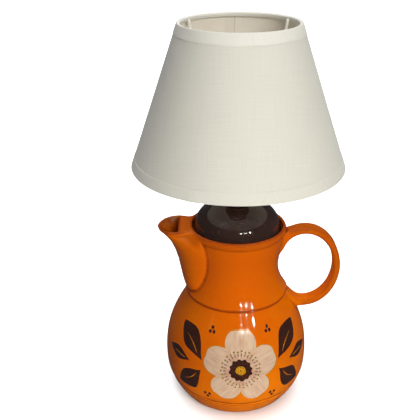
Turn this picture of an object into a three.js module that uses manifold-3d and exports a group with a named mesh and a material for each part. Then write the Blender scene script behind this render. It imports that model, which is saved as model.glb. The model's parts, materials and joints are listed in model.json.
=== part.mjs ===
// Table lamp built on a glazed coffee pot: pot with spout and ring handle, domed lid carrying the lampholder, bulb and empire shade.
// Millimetres, +Z up. The origin is on the pot's axis, on the surface that the foot ring stands on. The spout points to -X and the handle to +X.
import * as THREE from "three";
import { mergeVertices } from "three/addons/utils/BufferGeometryUtils.js";
import Module from "manifold-3d";

const wasm = await Module();
wasm.setup();

// ---- driving dimensions -------------------------------------------------------------------------------------
const SEG = 40; // facets round the large turned pieces
const SEG_S = 24; // facets round the small turned pieces

const FOOT_R_IN = 45.5, FOOT_R_OUT = 51.0; // foot ring's flat, which the lamp stands on
const RIM_TOP = 189.0; // top of the pot's rim
const LEDGE_Z = 184.0; // lid seat inside the rim
const LEDGE_R = 39.2; // mouth below the seat

const HANDLE_X = 67.3, HANDLE_Z = 142.1; // centre of the handle's oval
const HANDLE_RX = 32.4, HANDLE_RZ = 40.4; // semi-axes of its centreline
const HANDLE_T = 7.0, HANDLE_W = 16.6; // strap's thickness and width

const GROMMET_Z = 40.0, GROMMET_HOLE_R = 6.2; // cable outlet in the back wall

const LID_Z = 184.3, LID_SKIRT_Z = 172.5; // underside of the lid's flange, end of its skirt
const DOME_Z = 189.3, DOME_A = 40.3, DOME_C = 25.2; // dome of the lid: centre height, radius, rise
const LID_WALL = 4.5, LID_HOLE_R = 5.6;

const TUBE_R = 4.9, TUBE_Z0 = 193.0, TUBE_Z1 = 239.0; // threaded tube through the lid
const THREAD_R = 19.9; // lampholder's outer thread
const FITTER_Z = 262.8, FITTER_R_IN = 20.7, FITTER_R_OUT = 25.6; // ring that holds the shade

const SHADE_TOP_Z = 381.8, SHADE_TOP_R = 55.0;
const SHADE_BOTTOM_Z = 250.9, SHADE_BOTTOM_R = 100.0;
const FABRIC_T = 0.8, TAPE_T = 0.45, GAP = 0.3;
const TAPE_W = 10.6, TAPE_IN = 5.2; // width of the edge tape outside and inside
const WIRE_R = 1.2; // shade wires

// ---- helpers --------------------------------------------------------------------------------------------------
function solid(geometry) {
  const g = geometry.index ? geometry.toNonIndexed() : geometry.clone();
  const bare = new THREE.BufferGeometry().setAttribute("position", g.getAttribute("position"));
  const merged = mergeVertices(bare, 1e-3);
  const tri = new Uint32Array(merged.index.array);
  // faces that collapse where a profile meets the axis are dropped
  const kept = [];
  for (let i = 0; i < tri.length; i += 3)
    if (tri[i] !== tri[i + 1] && tri[i + 1] !== tri[i + 2] && tri[i] !== tri[i + 2]) kept.push(tri[i], tri[i + 1], tri[i + 2]);
  const make = (t) => new wasm.Manifold(new wasm.Mesh({ numProp: 3, vertProperties: merged.attributes.position.array, triVerts: new Uint32Array(t) }));
  let made = make(kept);
  if (made.volume() < 0) {
    for (let i = 0; i < kept.length; i += 3) [kept[i + 1], kept[i + 2]] = [kept[i + 2], kept[i + 1]];
    made = make(kept);
  }
  return made;
}
function geometryOf(manifold) {
  const m = manifold.getMesh();
  const g = new THREE.BufferGeometry();
  const n = m.numProp;
  const xyz = new Float32Array((m.vertProperties.length / n) * 3);
  for (let i = 0; i < xyz.length / 3; i++) for (let k = 0; k < 3; k++) xyz[3 * i + k] = m.vertProperties[n * i + k];
  g.setAttribute("position", new THREE.BufferAttribute(xyz, 3));
  g.setIndex(Array.from(m.triVerts));
  g.computeVertexNormals();
  return g;
}
// A profile of [r, z] pairs turned about Z. It starts and ends on the axis, or is a ring that closes on itself.
function turned(profile, segments = SEG, ring = false) {
  const pts = profile.map(([r, z]) => new THREE.Vector2(r, z));
  if (ring) pts.push(pts[0].clone());
  const g = new THREE.LatheGeometry(pts, segments);
  g.rotateX(Math.PI / 2); // the lathe's axis is Y: this stands it on Z
  return g;
}
const ringOf = (profile, segments = SEG_S) => solid(turned(profile, segments, true));
const bodyOf = (profile, segments = SEG_S) => solid(turned(profile, segments, false));

// Cross-sections, each a list of [x, y, z] with the same count and order, joined into a closed skin.
function loft(sections) {
  const n = sections[0].length, xyz = [], idx = [];
  for (const s of sections) for (const p of s) xyz.push(...p);
  for (let k = 0; k + 1 < sections.length; k++)
    for (let i = 0; i < n; i++) {
      const j = (i + 1) % n, a = k * n + i, b = k * n + j, c = a + n, d = b + n;
      idx.push(a, b, d, a, d, c);
    }
  for (const [k, flip] of [[0, true], [sections.length - 1, false]]) {
    const flat = THREE.ShapeUtils.triangulateShape(sections[k].map(([x, y]) => new THREE.Vector2(x, y)), []);
    for (const [a, b, c] of flat) idx.push(...(flip ? [k * n + a, k * n + c, k * n + b] : [k * n + a, k * n + b, k * n + c]));
  }
  const g = new THREE.BufferGeometry();
  g.setAttribute("position", new THREE.Float32BufferAttribute(xyz, 3));
  g.setIndex(idx);
  return g;
}
const lerp = (a, b, t) => a + (b - a) * t;
function table(rows, z) {
  if (z <= rows[0][0]) return rows[0].slice(1);
  for (let i = 1; i < rows.length; i++)
    if (z <= rows[i][0]) {
      const t = (z - rows[i - 1][0]) / (rows[i][0] - rows[i - 1][0]);
      return rows[i].slice(1).map((v, k) => lerp(rows[i - 1][k + 1], v, t));
    }
  return rows[rows.length - 1].slice(1);
}
const group = new THREE.Group();
const paint = (color, roughness, metalness = 0, extra = {}) => new THREE.MeshStandardMaterial({ color, roughness, metalness, ...extra });
const MAT = {
  orange: paint(0xd95f00, 0.12),
  brown: paint(0x33201a, 0.1),
  rubber: paint(0x1c1a19, 0.85),
  zinc: paint(0xb9bcc0, 0.35, 1),
  brass: paint(0xb98d45, 0.3, 1),
  black: paint(0x17171a, 0.38),
  porcelain: paint(0xeceae2, 0.3),
  whiteWire: paint(0xf0eee6, 0.45),
  fabric: paint(0xe3e0d2, 0.9),
  tape: paint(0xe9e6d8, 0.9),
  opal: paint(0xf6f4ee, 0.25, 0, { transparent: true, opacity: 0.85 }),
  glass: paint(0xf4f8f8, 0.05, 0, { transparent: true, opacity: 0.4 }),
  nickel: paint(0xc9c6bd, 0.28, 1),
};
function add(name, made, material) {
  const mesh = new THREE.Mesh(made.isBufferGeometry ? made : geometryOf(made), material);
  mesh.name = name;
  group.add(mesh);
}

// ---- the pot --------------------------------------------------------------------------------------------------
// Outside, from the centre of the underside up to the rim's crest.
const POT_OUT = [
  [0, 3.0], [44.0, 3.0], [FOOT_R_IN, 0], [FOOT_R_OUT, 0], [53.4, 1.1], [57.3, 4.6], [62.8, 12.6], [67.6, 21.4], [66.9, 22.6], [68.1, 23.8], // groove above the foot band
  [70.6, 30], [72.0, 39], [72.25, 48], [71.8, 60], [70.0, 73], [66.4, 85], [60.6, 97], [53.6, 110], [50.4, 115.8], [49.3, 117.3], [50.3, 118.8], // ridge round the shoulder
  [45.7, 127.5], [42.3, 137], [41.2, 148], [42.6, 160], [44.6, 172], [45.6, 180.4], [47.5, 183.4], [47.5, 187.0], [45.6, RIM_TOP],
];
// Inside, from the rim down to the centre of the floor.
const POT_IN = [
  [44.3, 188.4], [43.6, LEDGE_Z], [LEDGE_R, LEDGE_Z], [38.4, 164], [37.3, 146], [39.4, 133], [46.6, 118.5], [56.6, 101], [63.4, 86], [67.0, 70],
  [68.2, 52], [66.8, 34], [62.4, 22.5], [55.0, 13.0], [45.0, 8.0], [0, 6.8],
];
const potFull = solid(turned([...POT_OUT, [44.3, 188.6], [0, 188.6]]));
const cavity = solid(turned([[0, 195], [44.3, 195], ...POT_IN]));

// Spout: height, x of the nose, x of the flank's root, half width at the root.
const SPOUT = [
  [112.0, -49.0, -42.0, 8.0], [121.0, -51.2, -40.5, 16.0], [131.0, -53.6, -36.5, 24.0], [144.0, -56.4, -31.2, 29.0], [160.0, -60.2, -29.6, 31.8],
  [171.0, -64.4, -32.4, 29.8], [177.5, -68.2, -36.6, 26.0], [180.5, -72.4, -39.6, 23.0], [183.4, -77.2, -42.0, 20.4], [188.2, -77.6, -43.0, 18.8],
];
// Plan of the lip, half of it: [x, y] from the rim to the tip.
const LIP = [[-43, 17.2], [-47.5, 17.6], [-52.5, 19.6], [-57.5, 20.9], [-63, 20.2], [-68, 17.6], [-72.4, 13.4], [-75.8, 7.6], [-77.8, 0]];
const lipCurve = new THREE.CatmullRomCurve3(LIP.map(([x, y]) => new THREE.Vector3(x, y, 0)), false, "centripetal");
function spoutSection(z) {
  const [nose, root, half] = table(SPOUT, z);
  const blend = THREE.MathUtils.smoothstep(z, 172, 184);
  const pts = [], N = 8;
  const at = (t, side) => {
    const a = (t * Math.PI) / 2;
    const x1 = root - (root - nose) * Math.sin(a), y1 = half * Math.cos(a);
    const p = lipCurve.getPoint(t);
    const x2 = p.x * (nose / -77.8), y2 = (p.y * half) / 19.6;
    return [lerp(x1, x2, blend), side * lerp(y1, y2, blend), z];
  };
  for (let i = 0; i <= N; i++) pts.push(at(i / N, 1));
  for (let i = N - 1; i >= 0; i--) pts.push(at(i / N, -1));
  pts.push([-24, -half * 0.75, z], [-24, half * 0.75, z]);
  return pts;
}
const spoutOut = solid(loft(SPOUT.map(([z]) => spoutSection(z))));
// Pouring channel between the spout's wall and the neck: height, nose, x of its flat side, half width.
const CHANNEL = [
  [128.0, -48.8, -44.6, 8.0], [138.0, -51.2, -44.4, 13.0], [152.0, -54.2, -45.4, 16.0], [166.0, -58.4, -47.4, 17.0], [175.0, -62.6, -50.4, 16.2],
  [181.0, -69.6, -55.0, 15.6], [185.0, -73.4, -57.0, 15.6], [192.0, -74.4, -57.4, 15.8],
];
function channelSection([z, nose, flat, half]) {
  const pts = [], N = 12;
  for (let i = 0; i <= N; i++) {
    const a = Math.PI * (i / N - 0.5);
    const c = Math.cos(a), s = Math.sin(a);
    pts.push([flat - (flat - nose) * Math.pow(c, 0.8), -half * Math.sign(s) * Math.pow(Math.abs(s), 0.85), z]);
  }
  return pts;
}
const channel = solid(loft(CHANNEL.map(channelSection)));
// Passage from the neck into the channel.
const passageG = new THREE.CylinderGeometry(8.5, 8.5, 14, 16);
passageG.rotateZ(Math.PI / 2);
passageG.scale(1, 0.95, 1.1);
passageG.translate(-43, 0, 139.5);
const passage = solid(passageG);

// Handle: a flat strap with rounded edges, swept along an oval from the neck to the shoulder.
class Oval extends THREE.Curve {
  getPoint(t, target = new THREE.Vector3()) {
    const a = THREE.MathUtils.degToRad(lerp(141, -116, t));
    return target.set(HANDLE_X + HANDLE_RX * Math.cos(a), 0, HANDLE_Z + HANDLE_RZ * Math.sin(a));
  }
}
function strap() {
  const s = new THREE.Shape(), a = HANDLE_T / 2, b = HANDLE_W / 2, r = 3.0, n = 2;
  const corners = [[a - r, b - r, 0], [-(a - r), b - r, 90], [-(a - r), -(b - r), 180], [a - r, -(b - r), 270]];
  const pts = [];
  for (const [cx, cy, start] of corners)
    for (let i = 0; i <= n; i++) {
      const t = THREE.MathUtils.degToRad(start + (90 * i) / n);
      pts.push(new THREE.Vector2(cx + r * Math.cos(t), cy + r * Math.sin(t)));
    }
  return pts;
}
function sweptHandle() {
  const path = new Oval(), steps = 22, outline = strap();
  const n = outline.length, xyz = [], idx = [];
  for (let k = 0; k <= steps; k++) {
    const p = path.getPoint(k / steps), t = path.getTangent(k / steps);
    const out = new THREE.Vector3(-t.z, 0, t.x); // normal to the path, in its plane
    for (const q of outline) xyz.push(p.x + out.x * q.x, q.y, p.z + out.z * q.x);
  }
  for (let k = 0; k < steps; k++)
    for (let i = 0; i < n; i++) {
      const j = (i + 1) % n, a = k * n + i, b = k * n + j;
      idx.push(a, b, b + n, a, b + n, a + n);
    }
  const flat = THREE.ShapeUtils.triangulateShape(outline, []);
  for (const [a, b, c] of flat) {
    idx.push(a, c, b);
    idx.push(steps * n + a, steps * n + b, steps * n + c);
  }
  const g = new THREE.BufferGeometry();
  g.setAttribute("position", new THREE.Float32BufferAttribute(xyz, 3));
  g.setIndex(idx);
  return g;
}
const handle = solid(sweptHandle());
const outletG = new THREE.CylinderGeometry(GROMMET_HOLE_R, GROMMET_HOLE_R, 30, 16);
outletG.translate(0, 72, GROMMET_Z);
const outlet = solid(outletG);

const pot = potFull.add(spoutOut).add(handle).subtract(cavity).subtract(channel).subtract(passage).subtract(outlet);
add("pot_body", pot, MAT.orange);

// Grommet in the outlet, turned about Y: a neck through the wall and a lip on each side of it.
const grommetG = turned([[3.4, 64.0], [8.2, 64.0], [8.0, 65.2], [5.7, 65.4], [5.7, 73.2], [8.6, 73.4], [8.0, 75.2], [3.4, 75.6]], 16, true);
grommetG.rotateX(-Math.PI / 2);
grommetG.translate(0, 0, GROMMET_Z);
add("cable_grommet", solid(grommetG), MAT.rubber);

// ---- the lid and the hardware that clamps the lampholder to it -----------------------------------------------
const domeAt = (r, a = DOME_A, c = DOME_C) => DOME_Z + c * Math.sqrt(Math.max(0, 1 - (r / a) ** 2));
const outerDome = [], innerDome = [];
for (const t of [0, 14, 28, 42, 56, 68]) {
  const a = THREE.MathUtils.degToRad(t);
  outerDome.push([DOME_A * Math.cos(a), DOME_Z + DOME_C * Math.sin(a)]);
}
const BOSS_Z = 213.2;
for (const t of [64, 44, 22, 0]) {
  const a = THREE.MathUtils.degToRad(t);
  innerDome.push([(DOME_A - LID_WALL) * Math.cos(a), DOME_Z + (DOME_C - LID_WALL) * Math.sin(a)]);
}
add(
  "lid",
  ringOf(
    [
      [LID_HOLE_R, BOSS_Z], [LID_HOLE_R, 208.4], [13.4, 208.4], ...innerDome, [34.6, LID_SKIRT_Z], [37.4, LID_SKIRT_Z],
      [38.3, LID_Z], [41.3, LID_Z], [41.6, 186.4], ...outerDome, [12.6, BOSS_Z],
    ],
    32,
  ),
  MAT.brown,
);
add("threaded_tube", ringOf([[3.6, TUBE_Z0], [TUBE_R, TUBE_Z0], [TUBE_R, TUBE_Z1], [3.6, TUBE_Z1]], 16), MAT.zinc);
add("rubber_washer_lower", ringOf([[5.4, 206.2], [13.0, 206.2], [13.0, 208.1], [5.4, 208.1]], 16), MAT.rubber);
add("steel_washer", ringOf([[5.3, 204.3], [14.8, 204.3], [14.8, 205.9], [5.3, 205.9]], 16), MAT.zinc);
function hexNut(flats, z0, z1) {
  const r = flats / Math.sqrt(3), shape = new THREE.Shape();
  for (let i = 0; i < 6; i++) shape[i ? "lineTo" : "moveTo"](r * Math.cos((i * Math.PI) / 3), r * Math.sin((i * Math.PI) / 3));
  shape.closePath();
  const hole = new THREE.Path();
  hole.absarc(0, 0, 5.25, 0, Math.PI * 2, true);
  shape.holes.push(hole);
  const g = new THREE.ExtrudeGeometry(shape, { depth: z1 - z0, bevelEnabled: false, curveSegments: 12 });
  g.translate(0, 0, z0);
  // the corners are turned off at both ends
  const cone = bodyOf([[0, z0 - 1], [r - 1.9, z0 - 1], [r - 0.85, z0], [r + 0.1, z0 + 0.9], [r + 0.1, z1 - 0.9], [r - 0.85, z1], [r - 1.9, z1 + 1], [0, z1 + 1]], 18);
  return solid(g).intersect(cone);
}
add("hex_nut_lower", hexNut(17, 199.0, 204.0), MAT.zinc);
add("rubber_washer_upper", ringOf([[5.4, 213.5], [12.2, 213.5], [12.2, 215.0], [5.4, 215.0]], 16), MAT.rubber);
add(
  "vase_cap",
  ringOf([[5.3, 215.3], [16.6, 215.3], [16.6, 217.4], [11.6, 222.0], [10.8, 223.6], [5.3, 223.6]], SEG_S),
  MAT.brass,
);
add("hex_nut_upper", hexNut(15.5, 223.9, 227.7), MAT.brass);

// ---- lampholder -------------------------------------------------------------------------------------------------
add(
  "lampholder_base",
  ringOf(
    [
      [5.3, 228.0], [9.0, 228.0], [10.2, 232.0], [18.6, 238.4], [21.4, 243.0], [21.6, 248.9], [19.6, 248.9],
      [19.4, 243.6], [17.0, 240.2], [8.2, 233.8], [5.3, 233.6],
    ],
    SEG_S,
  ),
  MAT.black,
);
// Porcelain insert: a well in the middle for the bulb's contact, and two pockets for the terminal screws.
const block = bodyOf([[0, 240.4], [11.0, 240.4], [16.2, 243.0], [16.4, 246.9], [9.8, 246.9], [9.6, 242.2], [0, 242.2]], SEG_S);
const pocket = (x) => {
  const g = new THREE.CylinderGeometry(1.9, 1.9, 3.2, 12);
  g.rotateX(Math.PI / 2);
  g.translate(x, 0, 246.4);
  return solid(g);
};
add("terminal_block", block.subtract(pocket(12.9)).subtract(pocket(-12.9)), MAT.porcelain);
const screw = (x) => bodyOf([[0, 245.1], [1.55, 245.1], [1.55, 246.3], [1.3, 246.7], [0, 246.7]], 12).translate([x, 0, 0]);
add("terminal_screw_live", screw(12.9), MAT.brass);
add("terminal_screw_neutral", screw(-12.9), MAT.brass);
// Springy tongue under the bulb's tip.
const tongue = new THREE.Shape();
tongue.moveTo(-7.5, 242.6); tongue.lineTo(-1.0, 242.6); tongue.lineTo(3.6, 243.9); tongue.lineTo(3.6, 244.5); tongue.lineTo(-1.2, 243.2); tongue.lineTo(-7.5, 243.2); tongue.closePath();
const tongueG = new THREE.ExtrudeGeometry(tongue, { depth: 4.4, bevelEnabled: false });
tongueG.rotateX(Math.PI / 2); // (x, z) in the shape becomes (x, z) upright
tongueG.translate(0, 2.2, 0);
add("centre_contact", solid(tongueG), MAT.brass);
add("screw_shell", ringOf([[13.6, 247.5], [14.2, 247.5], [14.2, 270.2], [13.6, 270.2]], SEG_S), MAT.brass);
add(
  "lampholder_shell",
  ringOf(
    [
      [19.2, 249.2], [22.4, 249.2], [22.4, 257.6], [25.4, 259.4], [25.4, 261.4], [THREAD_R, 261.4], [THREAD_R, 273.4], [18.4, 274.4], [17.8, 279.0], [15.9, 279.0],
      [15.6, 272.0], [14.9, 270.6], [14.9, 251.4], [19.2, 251.0],
    ],
    SEG_S,
  ),
  MAT.black,
);
// Threaded ring that holds the shade down on the shell's shoulder. Its rim is fluted for the fingers.
function flutedRing(z0, z1, r) {
  const shape = new THREE.Shape(), n = 20;
  const pts = [];
  for (let i = 0; i < n * 2; i++) {
    const a = (i * Math.PI) / n;
    pts.push(new THREE.Vector2((r - (i % 2 ? 0.9 : 0)) * Math.cos(a), (r - (i % 2 ? 0.9 : 0)) * Math.sin(a)));
  }
  shape.setFromPoints(pts);
  const hole = new THREE.Path();
  hole.absarc(0, 0, THREAD_R + 0.4, 0, Math.PI * 2, true);
  shape.holes.push(hole);
  const g = new THREE.ExtrudeGeometry(shape, { depth: z1 - z0, bevelEnabled: false, curveSegments: 12 });
  g.translate(0, 0, z0);
  return solid(g);
}
add("shade_ring", flutedRing(264.2, 270.2, 26.4), MAT.black);

// ---- bulb ------------------------------------------------------------------------------------------------------
add("bulb_contact", bodyOf([[0, 244.8], [3.0, 245.0], [4.3, 246.4], [0, 246.4]], 16), MAT.zinc);
add("bulb_insulator", bodyOf([[0, 246.7], [6.4, 246.7], [10.6, 249.6], [10.6, 250.2], [0, 250.2]], SEG_S), MAT.black);
add(
  "bulb_cap",
  ringOf([[10.9, 250.5], [12.4, 250.7], [13.1, 252.0], [13.1, 269.6], [12.9, 272.6], [12.4, 272.6], [12.4, 252.4], [10.9, 251.2]], SEG_S),
  MAT.nickel,
);
const GLASS = [
  [0, 348.4], [11.0, 346.8], [21.0, 340.6], [27.2, 330.2], [29.2, 319.0], [27.4, 308.2], [22.5, 298.4], [14.0, 282.4], [11.1, 273.8], [11.1, 262.0], // inside
  [11.9, 262.0], [11.9, 273.4], [14.8, 282.0], [23.2, 298.0], [28.2, 307.8], [30.0, 319.0], [28.0, 330.4], [21.6, 341.2], [11.2, 347.6], [0, 349.2],
];
add("bulb_glass", bodyOf(GLASS, SEG_S), MAT.opal);
add("bulb_stem", bodyOf([[0, 256.0], [10.0, 256.0], [8.8, 259.4], [4.4, 265.0], [3.2, 288.0], [0, 290.0]], 12), MAT.glass);
class Leads extends THREE.Curve {
  getPoint(t, target = new THREE.Vector3()) {
    const pts = this.pts ??= new THREE.CatmullRomCurve3(
      [[-2.4, 290.6], [-3.6, 297], [-8.5, 306], [-13, 314], [-6.5, 316.5], [0, 317.2], [6.5, 316.5], [13, 314], [8.5, 306], [3.6, 297], [2.4, 290.6]].map(([x, z]) => new THREE.Vector3(x, 0, z)),
    );
    return pts.getPoint(t, target);
  }
}
const wireShape = (r, n = 8) => {
  const s = new THREE.Shape(), pts = [];
  for (let i = 0; i < n; i++) pts.push(new THREE.Vector2(r * Math.cos((2 * Math.PI * i) / n), r * Math.sin((2 * Math.PI * i) / n)));
  s.setFromPoints(pts);
  return s;
};
add("bulb_filament", solid(new THREE.ExtrudeGeometry(wireShape(0.4, 6), { steps: 20, extrudePath: new Leads(), bevelEnabled: false })), MAT.nickel);

// ---- shade -----------------------------------------------------------------------------------------------------
const slope = (SHADE_BOTTOM_R - SHADE_TOP_R) / (SHADE_TOP_Z - SHADE_BOTTOM_Z); // mm of radius per mm of height
const lean = Math.atan(slope), cosL = Math.cos(lean), sinL = Math.sin(lean);
// A point on the cone, s mm down from the top edge along the slope, and n mm outwards from the tape's outer face.
const onCone = (s, n) => [SHADE_TOP_R + s * sinL + n * cosL, SHADE_TOP_Z - s * cosL + n * sinL];
const SLANT = (SHADE_TOP_Z - SHADE_BOTTOM_Z) / cosL;
const n0 = 0, n1 = -TAPE_T, n2 = n1 - GAP, n3 = n2 - FABRIC_T, n4 = n3 - GAP, n5 = n4 - TAPE_T;
// the covered rings sit inside the fabric's edges, 0.3 mm clear of it
const TOP_WIRE = onCone(2.4 + WIRE_R, n3 - GAP - WIRE_R - 0.15), BOTTOM_WIRE = onCone(SLANT - 2.4 - WIRE_R, n3 - GAP - WIRE_R - 0.15);
add("shade_fabric", ringOf([onCone(1.0, n2), onCone(SLANT / 2, n2), onCone(SLANT - 1.0, n2), onCone(SLANT - 1.0, n3), onCone(SLANT / 2, n3), onCone(1.0, n3)], SEG), MAT.fabric);
const innerFold = n3 - GAP - 2 * WIRE_R - 0.75; // the tape's inner face, past the wire
add("trim_top", ringOf([onCone(TAPE_W, n0), onCone(TAPE_W, n1), onCone(0.6, n1), onCone(0.6, innerFold), onCone(TAPE_IN, innerFold), onCone(TAPE_IN, innerFold - TAPE_T), onCone(0, innerFold - TAPE_T), onCone(0, n0)], SEG), MAT.tape);
add("trim_bottom", ringOf([onCone(SLANT - TAPE_W, n0), onCone(SLANT, n0), onCone(SLANT, innerFold - TAPE_T), onCone(SLANT - TAPE_IN, innerFold - TAPE_T), onCone(SLANT - TAPE_IN, innerFold), onCone(SLANT - 0.6, innerFold), onCone(SLANT - 0.6, n1), onCone(SLANT - TAPE_W, n1)], SEG), MAT.tape);
const wireRing = ([r, z]) => {
  const g = new THREE.TorusGeometry(r, WIRE_R, 6, SEG);
  g.translate(0, 0, z);
  return solid(g);
};
add("shade_top_ring", wireRing(TOP_WIRE), MAT.whiteWire);
add("shade_bottom_ring", wireRing(BOTTOM_WIRE), MAT.whiteWire);
add("fitter_ring", ringOf([[FITTER_R_IN, FITTER_Z - 1.0], [FITTER_R_OUT, FITTER_Z - 1.0], [FITTER_R_OUT, FITTER_Z + 1.0], [FITTER_R_IN, FITTER_Z + 1.0]], SEG_S), MAT.whiteWire);
// Three arms from the fitter ring up to the top ring, each ending under the ring and clear of the folded tape.
const ARM_TOP = onCone(5.9, n3 - GAP - WIRE_R - 0.15);
for (const [i, deg] of [30, 150, 270].entries()) {
  const a = THREE.MathUtils.degToRad(deg), c = Math.cos(a), s = Math.sin(a);
  const pts = [[FITTER_R_OUT + 1.5, FITTER_Z - 0.2], [29.2, 268.5], [32.0, 279], [39.6, 312], [46.4, 345], ARM_TOP];
  const path = new THREE.CatmullRomCurve3(pts.map(([r, z]) => new THREE.Vector3(r * c, r * s, z)), false, "centripetal");
  add("shade_arm_" + (i + 1), solid(new THREE.ExtrudeGeometry(wireShape(WIRE_R, 6), { steps: 12, extrudePath: path, bevelEnabled: false })), MAT.whiteWire);
}

export default group;
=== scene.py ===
import json
import math

import bmesh
import bpy
import numpy as np
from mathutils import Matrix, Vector, noise

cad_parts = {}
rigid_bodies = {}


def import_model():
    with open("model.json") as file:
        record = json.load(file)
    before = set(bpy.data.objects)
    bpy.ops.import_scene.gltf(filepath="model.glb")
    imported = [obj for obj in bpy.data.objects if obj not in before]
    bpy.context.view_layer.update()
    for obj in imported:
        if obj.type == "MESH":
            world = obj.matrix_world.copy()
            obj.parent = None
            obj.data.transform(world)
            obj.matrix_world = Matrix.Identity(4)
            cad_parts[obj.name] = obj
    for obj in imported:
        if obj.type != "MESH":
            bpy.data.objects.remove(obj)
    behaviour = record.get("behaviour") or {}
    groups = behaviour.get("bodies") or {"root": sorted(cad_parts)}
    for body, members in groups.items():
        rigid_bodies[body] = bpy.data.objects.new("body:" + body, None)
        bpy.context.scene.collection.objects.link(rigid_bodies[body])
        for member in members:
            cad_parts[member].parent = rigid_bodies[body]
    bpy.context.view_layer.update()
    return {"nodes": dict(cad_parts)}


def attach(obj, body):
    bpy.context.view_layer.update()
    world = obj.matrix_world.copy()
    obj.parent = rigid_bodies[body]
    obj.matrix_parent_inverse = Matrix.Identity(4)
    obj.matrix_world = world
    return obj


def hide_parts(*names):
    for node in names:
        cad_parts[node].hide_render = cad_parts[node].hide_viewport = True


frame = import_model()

NODES = frame["nodes"]
MM = 0.001
scene = bpy.context.scene
rng = np.random.default_rng(7)

# ------------------------------------------------------------------------------------------------ camera
# Position and direction in the pot's own frame, where the handle lies along +X.
TURN = math.radians(-2.8)


def about_z(v, a):
    return Vector((v[0] * math.cos(a) - v[1] * math.sin(a), v[0] * math.sin(a) + v[1] * math.cos(a), v[2]))


PITCH, YAW, ROLL = math.radians(24.33), math.radians(-2.435), math.radians(-0.253)
forward = Vector((math.sin(YAW) * math.cos(PITCH), math.cos(YAW) * math.cos(PITCH), -math.sin(PITCH)))
right = forward.cross(Vector((0, 0, 1))).normalized()
up = right.cross(forward)
right, up = math.cos(ROLL) * right + math.sin(ROLL) * up, -math.sin(ROLL) * right + math.cos(ROLL) * up
place = about_z((0.0, -0.62142, 0.48347), TURN)
forward, right, up = (about_z(v, TURN) for v in (forward, right, up))
cam_data = bpy.data.cameras.new("camera")
cam_data.sensor_width = 36
cam_data.lens = 703.61 / 420 * 36
cam_data.clip_start, cam_data.clip_end = 0.01, 60
camera = bpy.data.objects.new("camera", cam_data)
scene.collection.objects.link(camera)
from mathutils import Matrix

camera.matrix_world = Matrix(
    [[right.x, up.x, -forward.x, place.x], [right.y, up.y, -forward.y, place.y], [right.z, up.z, -forward.z, place.z], [0, 0, 0, 1]]
)
scene.camera = camera


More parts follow.
